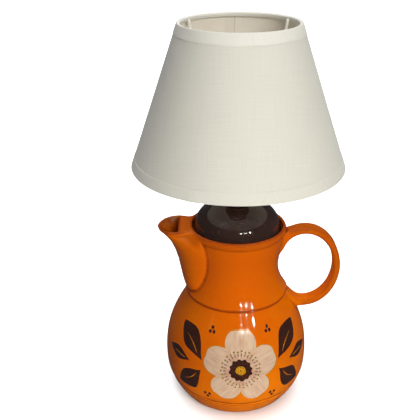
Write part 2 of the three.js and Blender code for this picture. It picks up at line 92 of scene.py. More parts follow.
# ------------------------------------------------------------------------------------------------ node helpers
class Mat:
    """A small wrapper that keeps node wiring short."""

    def __init__(self, name):
        self.m = bpy.data.materials.new(name)
        self.m.use_nodes = True
        self.t = self.m.node_tree
        self.t.nodes.clear()
        self.out = self.t.nodes.new("ShaderNodeOutputMaterial")
        self.bsdf = self.t.nodes.new("ShaderNodeBsdfPrincipled")
        self.t.links.new(self.bsdf.outputs[0], self.out.inputs[0])

    def node(self, kind, **kw):
        n = self.t.nodes.new(kind)
        for k, v in kw.items():
            setattr(n, k, v)
        return n

    def link(self, a, b):
        self.t.links.new(a, b)

    def put(self, socket, value):
        if hasattr(value, "is_output"):
            self.t.links.new(value, socket)
        else:
            socket.default_value = value

    def set(self, **kw):
        for k, v in kw.items():
            self.put(self.bsdf.inputs[k.replace("_", " ")], v)
        return self

    def coords(self, kind="Object"):
        return self.node("ShaderNodeTexCoord").outputs[kind]

    def mapping(self, vec, scale=(1, 1, 1), rotation=(0, 0, 0), location=(0, 0, 0)):
        n = self.node("ShaderNodeMapping")
        self.link(vec, n.inputs["Vector"])
        n.inputs["Scale"].default_value = scale
        n.inputs["Rotation"].default_value = rotation
        n.inputs["Location"].default_value = location
        return n.outputs[0]

    def noise(self, vec, scale, detail=4, rough=0.55, distortion=0.0, dims="3D"):
        n = self.node("ShaderNodeTexNoise", noise_dimensions=dims)
        if vec is not None:
            self.link(vec, n.inputs["Vector"])
        n.inputs["Scale"].default_value = scale
        n.inputs["Detail"].default_value = detail
        n.inputs["Roughness"].default_value = rough
        n.inputs["Distortion"].default_value = distortion
        return n.outputs["Fac"]

    def voronoi(self, vec, scale, feature="F1", rand=1.0):
        n = self.node("ShaderNodeTexVoronoi", feature=feature)
        self.link(vec, n.inputs["Vector"])
        n.inputs["Scale"].default_value = scale
        n.inputs["Randomness"].default_value = rand
        return n.outputs["Distance"]

    def wave(self, vec, scale, direction="X", distortion=0.0, detail=2, dscale=1.0, profile="SIN", kind="BANDS"):
        n = self.node("ShaderNodeTexWave", wave_type=kind, wave_profile=profile)
        if kind == "BANDS":
            n.bands_direction = direction
        else:
            n.rings_direction = direction
        self.link(vec, n.inputs["Vector"])
        n.inputs["Scale"].default_value = scale
        n.inputs["Distortion"].default_value = distortion
        n.inputs["Detail"].default_value = detail
        n.inputs["Detail Scale"].default_value = dscale
        return n.outputs["Fac"]

    def ramp(self, fac, stops, mode="LINEAR"):
        n = self.node("ShaderNodeValToRGB")
        n.color_ramp.interpolation = mode
        e = n.color_ramp.elements
        while len(e) < len(stops):
            e.new(0.5)
        for i, (pos, col) in enumerate(stops):
            e[i].position = pos
            c = col if hasattr(col, "__len__") else (col, col, col)
            e[i].color = (*c, 1) if len(c) == 3 else c
        self.link(fac, n.inputs[0])
        return n.outputs[0]

    def map(self, value, a, b, c=0.0, d=1.0, clamp=True):
        n = self.node("ShaderNodeMapRange", clamp=clamp)
        self.link(value, n.inputs[0])
        for i, v in enumerate((a, b, c, d)):
            n.inputs[i + 1].default_value = v
        return n.outputs[0]

    def mix(self, fac, a, b, blend="MIX"):
        n = self.node("ShaderNodeMix", data_type="RGBA", blend_type=blend)
        self.put(n.inputs[0], fac)
        for s, v in ((n.inputs[6], a), (n.inputs[7], b)):
            self.put(s, (*v, 1) if not hasattr(v, "is_output") and len(v) == 3 else v)
        return n.outputs[2]

    def math(self, op, a, b=0.0, clamp=False):
        n = self.node("ShaderNodeMath", operation=op, use_clamp=clamp)
        self.put(n.inputs[0], a)
        self.put(n.inputs[1], b)
        return n.outputs[0]

    def attribute(self, name):
        n = self.node("ShaderNodeAttribute", attribute_name=name)
        return n.outputs["Fac"]

    def bump(self, height, strength=0.3, distance=0.0002, normal=None):
        n = self.node("ShaderNodeBump")
        self.link(height, n.inputs["Height"])
        n.inputs["Strength"].default_value = strength
        n.inputs["Distance"].default_value = distance
        if normal is not None:
            self.link(normal, n.inputs["Normal"])
        return n.outputs[0]

    def xyz(self, vec):
        n = self.node("ShaderNodeSeparateXYZ")
        self.link(vec, n.inputs[0])
        return n.outputs

    def combine(self, x, y, z):
        n = self.node("ShaderNodeCombineXYZ")
        for i, v in enumerate((x, y, z)):
            self.put(n.inputs[i], v)
        return n.outputs[0]


def srgb(r, g, b):
    def f(v):
        v /= 255
        return v / 12.92 if v <= 0.04045 else ((v + 0.055) / 1.055) ** 2.4

    return (f(r), f(g), f(b))


# ------------------------------------------------------------------------------------------------ mesh helpers
def obj_from(name, verts, faces, material=None, smooth=True, uvs=None):
    me = bpy.data.meshes.new(name)
    me.from_pydata([tuple(v) for v in verts], [], faces)
    me.validate()
    if smooth:
        me.polygons.foreach_set("use_smooth", [True] * len(me.polygons))
    if uvs is not None:
        layer = me.uv_layers.new(name="uv")
        loops = np.zeros(len(me.loops), int)
        me.loops.foreach_get("vertex_index", loops)
        layer.data.foreach_set("uv", np.asarray(uvs, float)[loops].ravel())
    me.update()
    o = bpy.data.objects.new(name, me)
    scene.collection.objects.link(o)
    if material is not None:
        me.materials.append(material.m)
    return o


def smooth_profile(points, step=0.8, closed=False):
    """Centripetal Catmull-Rom through [r, z] points. A point with a third entry stays a corner."""
    pts = [tuple(p) for p in points]
    runs, run = [], [pts[0]]
    for p in pts[1:]:
        run.append(p)
        if len(p) > 2:
            runs.append(run)
            run = [p]
    if len(run) > 1:
        runs.append(run)
    out = []
    for run in runs:
        q = np.array([r[:2] for r in run], float)
        if len(q) == 2:
            n = 1 if np.linalg.norm(q[1] - q[0]) < 3 else max(1, int(np.linalg.norm(q[1] - q[0]) / 4))
            seg = [q[0] + (q[1] - q[0]) * i / n for i in range(n)]
        else:
            ext = np.vstack([2 * q[0] - q[1], q, 2 * q[-1] - q[-2]])
            seg = []
            for i in range(1, len(ext) - 2):
                p0, p1, p2, p3 = ext[i - 1 : i + 3]
                t0 = 0.0
                t1 = t0 + max(1e-6, np.linalg.norm(p1 - p0)) ** 0.5
                t2 = t1 + max(1e-6, np.linalg.norm(p2 - p1)) ** 0.5
                t3 = t2 + max(1e-6, np.linalg.norm(p3 - p2)) ** 0.5
                n = max(1, int(math.ceil(np.linalg.norm(p2 - p1) / step)))
                for k in range(n):
                    t = t1 + (t2 - t1) * k / n
                    a1 = (t1 - t) / (t1 - t0) * p0 + (t - t0) / (t1 - t0) * p1
                    a2 = (t2 - t) / (t2 - t1) * p1 + (t - t1) / (t2 - t1) * p2
                    a3 = (t3 - t) / (t3 - t2) * p2 + (t - t2) / (t3 - t2) * p3
                    b1 = (t2 - t) / (t2 - t0) * a1 + (t - t0) / (t2 - t0) * a2
                    b2 = (t3 - t) / (t3 - t1) * a2 + (t - t1) / (t3 - t1) * a3
                    seg.append((t2 - t) / (t2 - t1) * b1 + (t - t1) / (t2 - t1) * b2)
        out += [tuple(s) for s in seg]
    if not closed:
        out.append(tuple(pts[-1][:2]))
    return out


def rounded(points, radius=0.3, steps=3):
    """Rounds the corners of a closed [r, z] ring by at most radius. Points on the axis stay put."""
    n, out = len(points), []
    for i in range(n):
        a, b, c = (np.array(points[(i + k) % n][:2], float) for k in (-1, 0, 1))
        if b[0] < 1e-6:
            out.append(tuple(b))
            continue
        u, v = a - b, c - b
        lu, lv = np.linalg.norm(u), np.linalg.norm(v)
        cosang = float(u @ v / (lu * lv))
        if cosang < -0.985:
            out.append(tuple(b))
            continue
        d = min(radius, lu * 0.4, lv * 0.4)
        p, q = b + u / lu * d, b + v / lv * d
        for k in range(steps + 1):
            t = k / steps
            out.append(tuple((1 - t) ** 2 * p + 2 * t * (1 - t) * b + t * t * q))
    return out


def lathe(name, ring, material, seg=96, wobble=None, smooth_angle=40):
    """Turns a closed ring of [r, z] points in mm about Z. Points on the axis become poles."""
    verts, faces, index = [], [], []
    for radius, z in ring:
        r = radius if callable(radius) else max(0.0, radius)
        if not callable(r) and r < 1e-5:
            index.append([len(verts)] * seg)
            verts.append((0, 0, z * MM))
        else:
            row = []
            for k in range(seg):
                a = 2 * math.pi * k / seg
                rk = r(a) if callable(r) else r
                dr, dz = wobble(a, rk, z) if wobble else (0, 0)
                row.append(len(verts))
                verts.append(((rk + dr) * math.cos(a) * MM, (rk + dr) * math.sin(a) * MM, (z + dz) * MM))
            index.append(row)
    n = len(ring)
    for i in range(n):
        a, b = index[i], index[(i + 1) % n]
        if a[0] == a[1 % seg] and b[0] == b[1 % seg]:
            continue
        for k in range(seg):
            j = (k + 1) % seg
            f = []
            for v in (a[k], a[j], b[j], b[k]):
                if v not in f:
                    f.append(v)
            if len(f) > 2:
                faces.append(f)
    o = obj_from(name, verts, faces, material)
    fix_normals(o)
    sharp(o, smooth_angle)
    return o


def fix_normals(o):
    bm = bmesh.new()
    bm.from_mesh(o.data)
    bmesh.ops.recalc_face_normals(bm, faces=bm.faces)
    bm.to_mesh(o.data)
    bm.free()


def sharp(o, degrees=40):
    me = o.data
    me.polygons.foreach_set("use_smooth", [True] * len(me.polygons))
    me.set_sharp_from_angle(angle=math.radians(degrees))


def apply_modifiers(o):
    dg = bpy.context.evaluated_depsgraph_get()
    me = bpy.data.meshes.new_from_object(o.evaluated_get(dg))
    old = o.data
    o.modifiers.clear()
    o.data = me
    me.name = o.name
    bpy.data.meshes.remove(old)


def tube(name, points, radius, material, sides=12, closed=False, step=1.2):
    """A round wire through points in mm, as a mesh."""
    pts = np.array(points, float)
    if closed:
        line = pts
    else:
        line = np.array([[*p] for p in smooth_3d(pts, step)])
    n = len(line)
    verts, faces = [], []
    ref = None
    for i in range(n):
        if closed:
            t = line[(i + 1) % n] - line[i - 1]
        else:
            t = line[min(n - 1, i + 1)] - line[max(0, i - 1)]
        t /= np.linalg.norm(t)
        if ref is None:
            ref = np.cross(t, [0, 0, 1.0]) if abs(t[2]) < 0.9 else np.cross(t, [1.0, 0, 0])
        ref = ref - t * (ref @ t)
        ref /= np.linalg.norm(ref)
        side = np.cross(t, ref)
        for k in range(sides):
            a = 2 * math.pi * k / sides
            verts.append((line[i] + radius * (math.cos(a) * ref + math.sin(a) * side)) * MM)
    rows = n if closed else n - 1
    for i in range(rows):
        for k in range(sides):
            j = (k + 1) % sides
            a, b = i * sides, ((i + 1) % n) * sides
            faces.append((a + k, a + j, b + j, b + k))
    if not closed:
        for end, flip in ((0, True), (n - 1, False)):
            c = len(verts)
            t = line[min(n - 1, end + 1)] - line[max(0, end - 1)]
            t /= np.linalg.norm(t)
            verts.append((line[end] + t * (-radius * 0.5 if flip else radius * 0.5)) * MM)
            for k in range(sides):
                j = (k + 1) % sides
                faces.append((c, end * sides + j, end * sides + k) if flip else (c, end * sides + k, end * sides + j))
    o = obj_from(name, verts, faces, material)
    fix_normals(o)
    return o


def smooth_3d(pts, step):
    ext = np.vstack([2 * pts[0] - pts[1], pts, 2 * pts[-1] - pts[-2]])
    out = []
    for i in range(1, len(ext) - 2):
        p0, p1, p2, p3 = ext[i - 1 : i + 3]
        t0 = 0.0
        t1 = t0 + np.linalg.norm(p1 - p0) ** 0.5
        t2 = t1 + np.linalg.norm(p2 - p1) ** 0.5
        t3 = t2 + np.linalg.norm(p3 - p2) ** 0.5
        n = max(1, int(math.ceil(np.linalg.norm(p2 - p1) / step)))
        for k in range(n):
            t = t1 + (t2 - t1) * k / n
            a1 = (t1 - t) / (t1 - t0) * p0 + (t - t0) / (t1 - t0) * p1
            a2 = (t2 - t) / (t2 - t1) * p1 + (t - t1) / (t2 - t1) * p2
            a3 = (t3 - t) / (t3 - t2) * p2 + (t - t2) / (t3 - t2) * p3
            b1 = (t2 - t) / (t2 - t0) * a1 + (t - t0) / (t2 - t0) * a2
            b2 = (t3 - t) / (t3 - t1) * a2 + (t - t1) / (t3 - t1) * a3
            out.append((t2 - t) / (t2 - t1) * b1 + (t - t1) / (t2 - t1) * b2)
    out.append(pts[-1])
    return out


# ------------------------------------------------------------------------------------------------ the pot
# All in mm. The pot is one skin: a turned body, a spout and a strap handle, run together with soft joins.
OUTER = [
    (0, 3.0, 1), (42.6, 3.0), (44.4, 2.5), (45.4, 0.9), (46.2, 0.08), (47.0, 0.0, 1), (50.2, 0.0, 1), (51.2, 0.15), (52.6, 0.8), (54.6, 2.2), (57.4, 4.9), (60.8, 9.7),
    (63.9, 14.7), (66.2, 19.0), (67.2, 21.0), (67.35, 21.8), (66.95, 22.5), (66.8, 23.1), (67.15, 23.8), (67.95, 24.5), (68.75, 25.8), (70.0, 29.0), (71.2, 33.4),
    (71.95, 38.8), (72.28, 46.0), (72.2, 54.0), (71.6, 62.0), (70.5, 70.0), (68.6, 78.0), (65.9, 86.0), (62.5, 94.0), (58.4, 102.0), (54.2, 109.3), (51.3, 114.4),
    (50.1, 116.6, 1), (49.25, 117.25), (49.15, 117.7), (49.5, 118.0, 1), (50.35, 118.35), (50.6, 118.95), (50.25, 119.7), (48.9, 121.9), (46.2, 126.6), (43.7, 132.6),
    (41.95, 139.0), (41.2, 146.0), (41.45, 153.0), (42.5, 161.0), (43.8, 168.5), (44.7, 174.5), (45.1, 178.8), (45.3, 180.4), (45.75, 181.5), (46.9, 182.6), (47.7, 184.0),
    (47.95, 185.6), (47.6, 187.4), (46.6, 188.6), (45.4, 189.0), (44.5, 188.8, 1), (0, 188.8, 1),
]
INNER = [
    (0, 196, 1), (44.9, 196, 1), (44.6, 189.2), (44.3, 188.2), (43.8, 186.4), (43.6, 184.6), (43.1, 184.0, 1), (40.4, 184.0, 1), (39.5, 183.6), (39.2, 182.6), (38.8, 172), (38.2, 162),
    (37.4, 152), (37.2, 144), (38.2, 135.5), (40.7, 127.5), (45.0, 118.5), (50.3, 109.2), (55.6, 99.8), (60.4, 90), (64.4, 80), (67.0, 70), (68.0, 60), (68.2, 50),
    (67.6, 40), (65.9, 31.5), (62.2, 22.6), (55.0, 13.4), (45.0, 8.4), (30.0, 6.9), (0, 6.8, 1),
]
# Spout: height, nose x, root x, half width at the root. Bent outwards into a flat lip at the top.
SPOUT = np.array([
    (121.5, -49.6, -44.2, 2.0), (122.2, -50.4, -44.0, 8.5), (123.1, -51.0, -43.4, 14.0), (124.6, -51.6, -42.6, 18.8), (128.4, -52.8, -40.2, 23.4), (131.0, -53.5, -38.6, 24.8),
    (136.0, -54.8, -35.8, 26.2), (145.0, -56.5, -32.6, 27.9), (155.0, -58.5, -30.9, 30.4), (165.0, -61.6, -30.9, 32.4), (173.6, -65.4, -32.4, 33.2), (179.0, -69.0, -34.6, 32.9),
    (181.0, -71.4, -35.6, 32.5), (183.0, -73.9, -36.8, 31.6), (185.0, -75.6, -38.6, 28.8), (187.0, -76.4, -40.6, 25.2), (188.4, -76.6, -42.4, 21.5), (190.0, -76.6, -43.0, 20.0),
])
LIP = np.array([(-43, 19.6), (-47.5, 18.6), (-52.0, 20.4), (-57.0, 21.3), (-62.5, 20.6), (-67.5, 18.2), (-72.0, 14.2), (-75.6, 8.4), (-77.8, 0)], float)
CHANNEL = np.array([
    (124.0, -47.4, -44.8, 5.0), (128.0, -48.8, -44.6, 9.0), (138.0, -51.2, -44.4, 13.6), (152.0, -54.0, -45.4, 16.6), (166.0, -58.4, -47.6, 17.6), (174.0, -62.0, -50.2, 16.8),
    (179.0, -65.8, -53.2, 16.0), (182.0, -69.6, -55.6, 15.8), (185.0, -73.2, -57.2, 16.4), (188.0, -75.2, -57.6, 17.4), (196.0, -77.0, -57.8, 18.4),
])
HANDLE_X, HANDLE_Z, HANDLE_RX, HANDLE_RZ = 67.3, 142.1, 32.4, 40.4


def poly_sdf(px, py, poly):
    """Signed distance (negative inside) from points to a closed polygon."""
    best = np.full(px.shape, 1e9)
    inside = np.zeros(px.shape, bool)
    n = len(poly)
    for i in range(n):
        ax, ay = poly[i]
        bx, by = poly[(i + 1) % n]
        ex, ey = bx - ax, by - ay
        wx, wy = px - ax, py - ay
        ll = ex * ex + ey * ey
        if ll < 1e-12:
            continue
        t = np.clip((wx * ex + wy * ey) / ll, 0, 1)
        dx, dy = wx - ex * t, wy - ey * t
        np.minimum(best, dx * dx + dy * dy, out=best)
        if ay != by:
            cond = ((ay > py) != (by > py)) & (px < ex * (py - ay) / ey + ax)
            inside ^= cond
    d = np.sqrt(best)
    d[inside] *= -1
    return d


def smin(a, b, k):
    h = np.clip(k - np.abs(a - b), 0, None) / k
    return np.minimum(a, b) - h * h * k * 0.25


def smax(a, b, k):
    return -smin(-a, -b, k)


def bilinear(tab, r0, z0, step, r, z):
    fr, fz = (r - r0) / step, (z - z0) / step
    i = np.clip(fr.astype(int), 0, tab.shape[0] - 2)
    j = np.clip(fz.astype(int), 0, tab.shape[1] - 2)
    fr, fz = np.clip(fr - i, 0, 1), np.clip(fz - j, 0, 1)
    return (tab[i, j] * (1 - fr) + tab[i + 1, j] * fr) * (1 - fz) + (tab[i, j + 1] * (1 - fr) + tab[i + 1, j + 1] * fr) * fz


def lip_curve(t):
    s = np.concatenate([[0], np.cumsum(np.linalg.norm(np.diff(LIP, axis=0), axis=1))])
    s /= s[-1]
    return np.interp(t, s, LIP[:, 0]), np.interp(t, s, LIP[:, 1])


def spout_outline(z):
    nose, root, half = (np.interp(z, SPOUT[:, 0], SPOUT[:, k]) for k in (1, 2, 3))
    bead = 1 + 0.016 * np.clip((z - 122) / 3, 0, 1) * np.clip((186 - z) / 5, 0, 1)
    root, half = root * bead, half * bead
    t = np.linspace(0, 1, 19)
    a = t * math.pi / 2
    x1, y1 = root - (root - nose) * np.sin(a), half * np.cos(a)
    lx, ly = lip_curve(t)
    near = np.clip(1 - t / 0.22, 0, 1) ** 2
    x2 = lx * (1 + (nose / -77.8 - 1) * t) + (root + 43.0) * near
    y2 = ly * 0.97 + (half - 19.0) * near
    f = np.clip((z - 174) / 13.5, 0, 1)
    f = f * f * (3 - 2 * f)
    x, y = x1 + (x2 - x1) * f, y1 + (y2 - y1) * f
    pts = list(zip(x, y)) + list(zip(x[::-1][1:], -y[::-1][1:])) + [(-20, -half * 0.7), (-20, half * 0.7)]
    return pts


def channel_outline(z):
    nose, flat, half = (np.interp(z, CHANNEL[:, 0], CHANNEL[:, k]) for k in (1, 2, 3))
    a = np.linspace(-math.pi / 2, math.pi / 2, 25)
    c, s = np.cos(a), np.sin(a)
    return list(zip(flat - (flat - nose) * np.abs(c) ** 0.8, -half * np.sign(s) * np.abs(s) ** 0.85))


def profile_radius(z):
    """Outer radius of the pot's body at height z, both in mm."""
    return np.interp(z, _oz, _or)


_outer = smooth_profile(OUTER, 0.6)
_side = [(r, z) for r, z in _outer if r > 40 and z > 0.01 and z < 186]
_oz = np.array([z for r, z in _side])
_or = np.array([r for r, z in _side])
_k = np.argsort(_oz, kind="stable")
_oz, _or = _oz[_k], _or[_k]


def axis_steps(stops):
    """Grid lines from (start, step) pairs, ending at the last start."""
    out = []
    for (a, s), (b, _) in zip(stops, stops[1:]):
        n = max(1, round((b - a) / s))
        out += [a + (b - a) * i / n for i in range(n)]
    out.append(stops[-1][0])
    return np.array(out)


def pot_field():
    h = 1.25
    xs = axis_steps([(-81, h), (106.5, h)])
    ys = axis_steps([(-75.5, h), (75.5, h)])
    g = 1.0
    zs = axis_steps([
        (-2.0, 0.5 * g), (3.6, h), (20.4, 0.4 * g), (25.2, h), (114.8, 0.4 * g), (120.8, h), (179.6, 0.5 * g), (191.0, 1)])
    X, Y = xs[:, None, None], ys[None, :, None]
    Z = zs[None, None, :]
    # turned body and its hollow, from tables in the (r, z) plane
    st = 0.4
    tr, tz = np.arange(-1, 84, st), np.arange(-4, 200, st)
    R2, Z2 = np.meshgrid(tr, tz, indexing="ij")
    t_out = poly_sdf(R2, Z2, _outer)
    t_in = poly_sdf(R2, Z2, smooth_profile(INNER, 1.5))
    r = np.sqrt(X * X + Y * Y)
    rr = np.broadcast_to(r, (len(xs), len(ys), len(zs)))
    zz = np.broadcast_to(Z, rr.shape)
    body = bilinear(t_out, tr[0], tz[0], st, rr, zz)
    hollow = bilinear(t_in, tr[0], tz[0], st, rr, zz)
    del rr, zz
    # spout and its channel, level by level
    sx, sy = (xs < -18), (np.abs(ys) < 44)
    sX, sY = np.meshgrid(xs[sx], ys[sy], indexing="ij")
    spout = np.full(body.shape, 50.0)
    lx, ly = lip_curve(np.linspace(0, 1, 33))
    lip_plan = list(zip(lx, ly)) + list(zip(lx[::-1][1:], -ly[::-1][1:])) + [(-30, -17), (-30, 17)]
    channel = np.full(body.shape, 50.0)
    for k, z in enumerate(zs):
        if 104 < z:
            d = poly_sdf(sX, sY, spout_outline(z))
            d = smax(d, np.full_like(d, z - 188.0), 2.4)
            d = smax(d, np.full_like(d, 121.6 - z), 1.4)
            if z > 178:
                e = poly_sdf(sX, sY, lip_plan)
                e = smax(e, np.full_like(e, abs(z - 186.4) - 1.9), 1.5)
                d = smin(d, e, 0.5)
            spout[np.ix_(sx, sy, [k])] = d[..., None]
            c = poly_sdf(sX, sY, channel_outline(z))
            c = np.maximum(c, 126.0 - z)
            channel[np.ix_(sx, sy, [k])] = c[..., None]
    # passage from the neck into the channel
    px, py, pz = X + 43.0, Y / 0.95, (Z - 139.5) / 1.1
    passage = np.maximum(np.sqrt(py * py + pz * pz) - 8.5, np.abs(px) - 8.0)
    # handle: distance to the oval, taken in the XZ plane
    ang = np.radians(np.linspace(143, -119, 320))
    hx, hz = HANDLE_X + HANDLE_RX * np.cos(ang), HANDLE_Z + HANDLE_RZ * np.sin(ang)
    ex = xs > 30
    eX, eZ = np.meshgrid(xs[ex], zs, indexing="ij")
    d2 = np.full(eX.shape, 1e9)
    at = np.zeros(eX.shape)
    for i in range(len(hx)):
        q = (eX - hx[i]) ** 2 + (eZ - hz[i]) ** 2
        m = q < d2
        d2[m] = q[m]
        at[m] = i / (len(hx) - 1)
    u = np.sqrt(d2)
    end = np.minimum(at, 1 - at)
    # the strap is a little wider and thicker where it joins
    flare = np.clip(1 - end / 0.16, 0, 1) ** 2
    half_t = (3.45 + 1.2 * flare)[:, None, :]
    half_w = (8.15 + 1.5 * flare)[:, None, :]
    rad = 3.0
    qu = np.abs(u)[:, None, :] - (half_t - rad)
    qy = np.abs(Y) - (half_w - rad)
    hd = np.sqrt(np.clip(qu, 0, None) ** 2 + np.clip(qy, 0, None) ** 2) + np.minimum(np.maximum(qu, qy), 0) - rad
    handle = np.full(body.shape, 50.0)
    handle[ex] = hd
    # pads that run from the roots along the neck and the shoulder
    p = np.interp(zs, [95, 99, 104, 112, 120, 128, 146, 155, 164, 172, 178], [-0.6, 0.9, 1.8, 0.9, -0.2, -1.5, -1.5, -0.3, 0.6, 1.6, 2.2])
    w = np.interp(zs, [95, 100, 105, 110, 126, 146, 160, 178], [2.0, 5.2, 7.2, 7.6, 6.0, 6.0, 7.6, 9.6])
    pad = body - p[None, None, :]
    pad = smax(pad, np.broadcast_to(np.abs(Y) - w[None, None, :], pad.shape), 2.5)
    pad = np.maximum(pad, 30.0 - X)
    pad = smax(pad, np.broadcast_to(Z - 179.5, pad.shape), 3.0)
    pad = smax(pad, np.broadcast_to(95.0 - Z, pad.shape), 3.0)
    d = smin(body, spout, 0.7)
    handle = smin(handle, pad, 6.0)
    d = smin(d, handle, 3.2)
    solid = d
    d = smax(d, -hollow, 0.8)
    d = smax(d, -channel, 1.2)
    d = np.maximum(d, -passage)
    # above zero on the walls of the hollows, below it on the outside
    inside = np.abs(solid) - np.abs(np.minimum(hollow, np.minimum(channel, passage)))
    # cable outlet
    hole = np.maximum(np.sqrt(X * X + (Z - 40.0) ** 2) - 6.2, 60.0 - Y)
    d = smax(d, -np.broadcast_to(hole, d.shape), 0.6)
    return xs, ys, zs, d, inside


def surface_nets(xs, ys, zs, d):
    """Quads round the zero level of d. One vertex in each cell that the surface crosses."""
    s = d < 0
    cell = np.zeros(tuple(n - 1 for n in d.shape), np.int8)
    for i in (0, 1):
        for j in (0, 1):
            for k in (0, 1):
                cell += s[i : d.shape[0] - 1 + i, j : d.shape[1] - 1 + j, k : d.shape[2] - 1 + k]
    active = (cell > 0) & (cell < 8)
    idx = np.full(cell.shape, -1, np.int64)
    ai, aj, ak = np.nonzero(active)
    idx[ai, aj, ak] = np.arange(len(ai))
    total = np.zeros((len(ai), 3))
    count = np.zeros(len(ai))
    corners = {}
    for i in (0, 1):
        for j in (0, 1):
            for k in (0, 1):
                corners[i, j, k] = d[ai + i, aj + j, ak + k]
    for axis in range(3):
        for a in (0, 1):
            for b in (0, 1):
                lo = [0, 0, 0]
                others = [m for m in range(3) if m != axis]
                lo[others[0]], lo[others[1]] = a, b
                hi = list(lo)
                hi[axis] = 1
                d0, d1 = corners[tuple(lo)], corners[tuple(hi)]
                m = (d0 < 0) != (d1 < 0)
                t = np.where(m, d0 / np.where(m, d0 - d1, 1), 0)
                pos = np.zeros((len(ai), 3))
                for c, (grid, base) in enumerate(((xs, ai), (ys, aj), (zs, ak))):
                    if c == axis:
                        pos[:, c] = grid[base] * (1 - t) + grid[base + 1] * t
                    else:
                        pos[:, c] = grid[base + lo[c]]
                total += pos * m[:, None]
                count += m
    verts = total / count[:, None]
    quads = []
    # x edges
    for axis in range(3):
        sl0 = [slice(None)] * 3
        sl1 = [slice(None)] * 3
        sl0[axis], sl1[axis] = slice(0, -1), slice(1, None)
        cross = s[tuple(sl0)] != s[tuple(sl1)]
        inner = [slice(1, -1)] * 3
        inner[axis] = slice(None)
        keep = np.zeros_like(cross)
        keep[tuple(inner)] = cross[tuple(inner)]
        e = np.array(np.nonzero(keep))
        first = s[tuple(sl0)][tuple(e)]
        o1, o2 = [m for m in range(3) if m != axis]
        q = []
        for da, db in ((-1, -1), (0, -1), (0, 0), (-1, 0)):
            c = e.copy()
            c[o1] += da
            c[o2] += db
            q.append(idx[tuple(c)])
        q = np.stack(q, 1)
        flip = first if axis != 1 else ~first
        q[~flip] = q[~flip][:, ::-1]
        quads.append(q)
    return verts, np.vstack(quads)


def sample(grid_axes, field, pts):
    """Trilinear value of field at pts."""
    ind, frac = [], []
    for c, g in enumerate(grid_axes):
        i = np.clip(np.searchsorted(g, pts[:, c]) - 1, 0, len(g) - 2)
        ind.append(i)
        frac.append(np.clip((pts[:, c] - g[i]) / (g[i + 1] - g[i]), 0, 1))
    out = 0
    for a in (0, 1):
        for b in (0, 1):
            for c in (0, 1):
                w = (frac[0] if a else 1 - frac[0]) * (frac[1] if b else 1 - frac[1]) * (frac[2] if c else 1 - frac[2])
                out = out + w * field[ind[0] + a, ind[1] + b, ind[2] + c]
    return out


def make_pot(material):
    xs, ys, zs, d, inside = pot_field()
    axes = (xs, ys, zs)
    verts, quads = surface_nets(xs, ys, zs, d)
    grad = np.gradient(d, xs, ys, zs)
    for _ in range(2):
        v = sample(axes, d, verts)
        g = np.stack([sample(axes, gg, verts) for gg in grad], 1)
        gl = np.linalg.norm(g, axis=1).clip(0.3)
        verts -= (np.clip(v / gl, -0.3, 0.3) / gl)[:, None] * g
    n = np.stack([sample(axes, gg, verts) for gg in grad], 1)
    n /= np.linalg.norm(n, axis=1)[:, None].clip(1e-6)
    # how much the surface curves away: positive on lips and edges, negative in grooves and joins
    links = np.vstack([quads[:, [0, 1]], quads[:, [1, 2]], quads[:, [2, 3]], quads[:, [3, 0]]])
    links = np.vstack([links, links[:, ::-1]])
    degree = np.bincount(links[:, 0], minlength=len(verts)).clip(1)

    def spread(field, times):
        for _ in range(times):
            field = 0.4 * field + 0.6 * np.bincount(links[:, 0], field[links[:, 1]], minlength=len(verts)) / degree
        return field

    soft = np.stack([spread(n[:, c], 3) for c in range(3)], 1)
    soft /= np.linalg.norm(soft, axis=1)[:, None].clip(1e-6)
    dp = verts[links[:, 1]] - verts[links[:, 0]]
    dn = soft[links[:, 1]] - soft[links[:, 0]]
    bend = (dp * dn).sum(1) / (dp * dp).sum(1).clip(0.05)
    edge = spread(np.bincount(links[:, 0], bend, minlength=len(verts)) / degree * 2, 6)
    lining = spread((sample(axes, inside, verts) > 0).astype(float), 2)
    # calm the gloss on open surfaces, but keep the seams and edges crisp
    calm = np.stack([spread(n[:, c], 5) for c in range(3)], 1)
    keep = np.clip(np.abs(edge) / 0.22 - 0.25, 0, 1)[:, None]
    n = n * keep + calm * (1 - keep)
    n /= np.linalg.norm(n, axis=1)[:, None].clip(1e-6)
    o = obj_from("pot_glazed", verts * MM, quads.tolist(), material)
    me = o.data
    a = me.attributes.new("edge", "FLOAT", "POINT")
    a.data.foreach_set("value", edge.astype(np.float32))
    a = me.attributes.new("lining", "FLOAT", "POINT")
    a.data.foreach_set("value", lining.astype(np.float32))
    me.normals_split_custom_set_from_vertices(n.tolist())
    return o


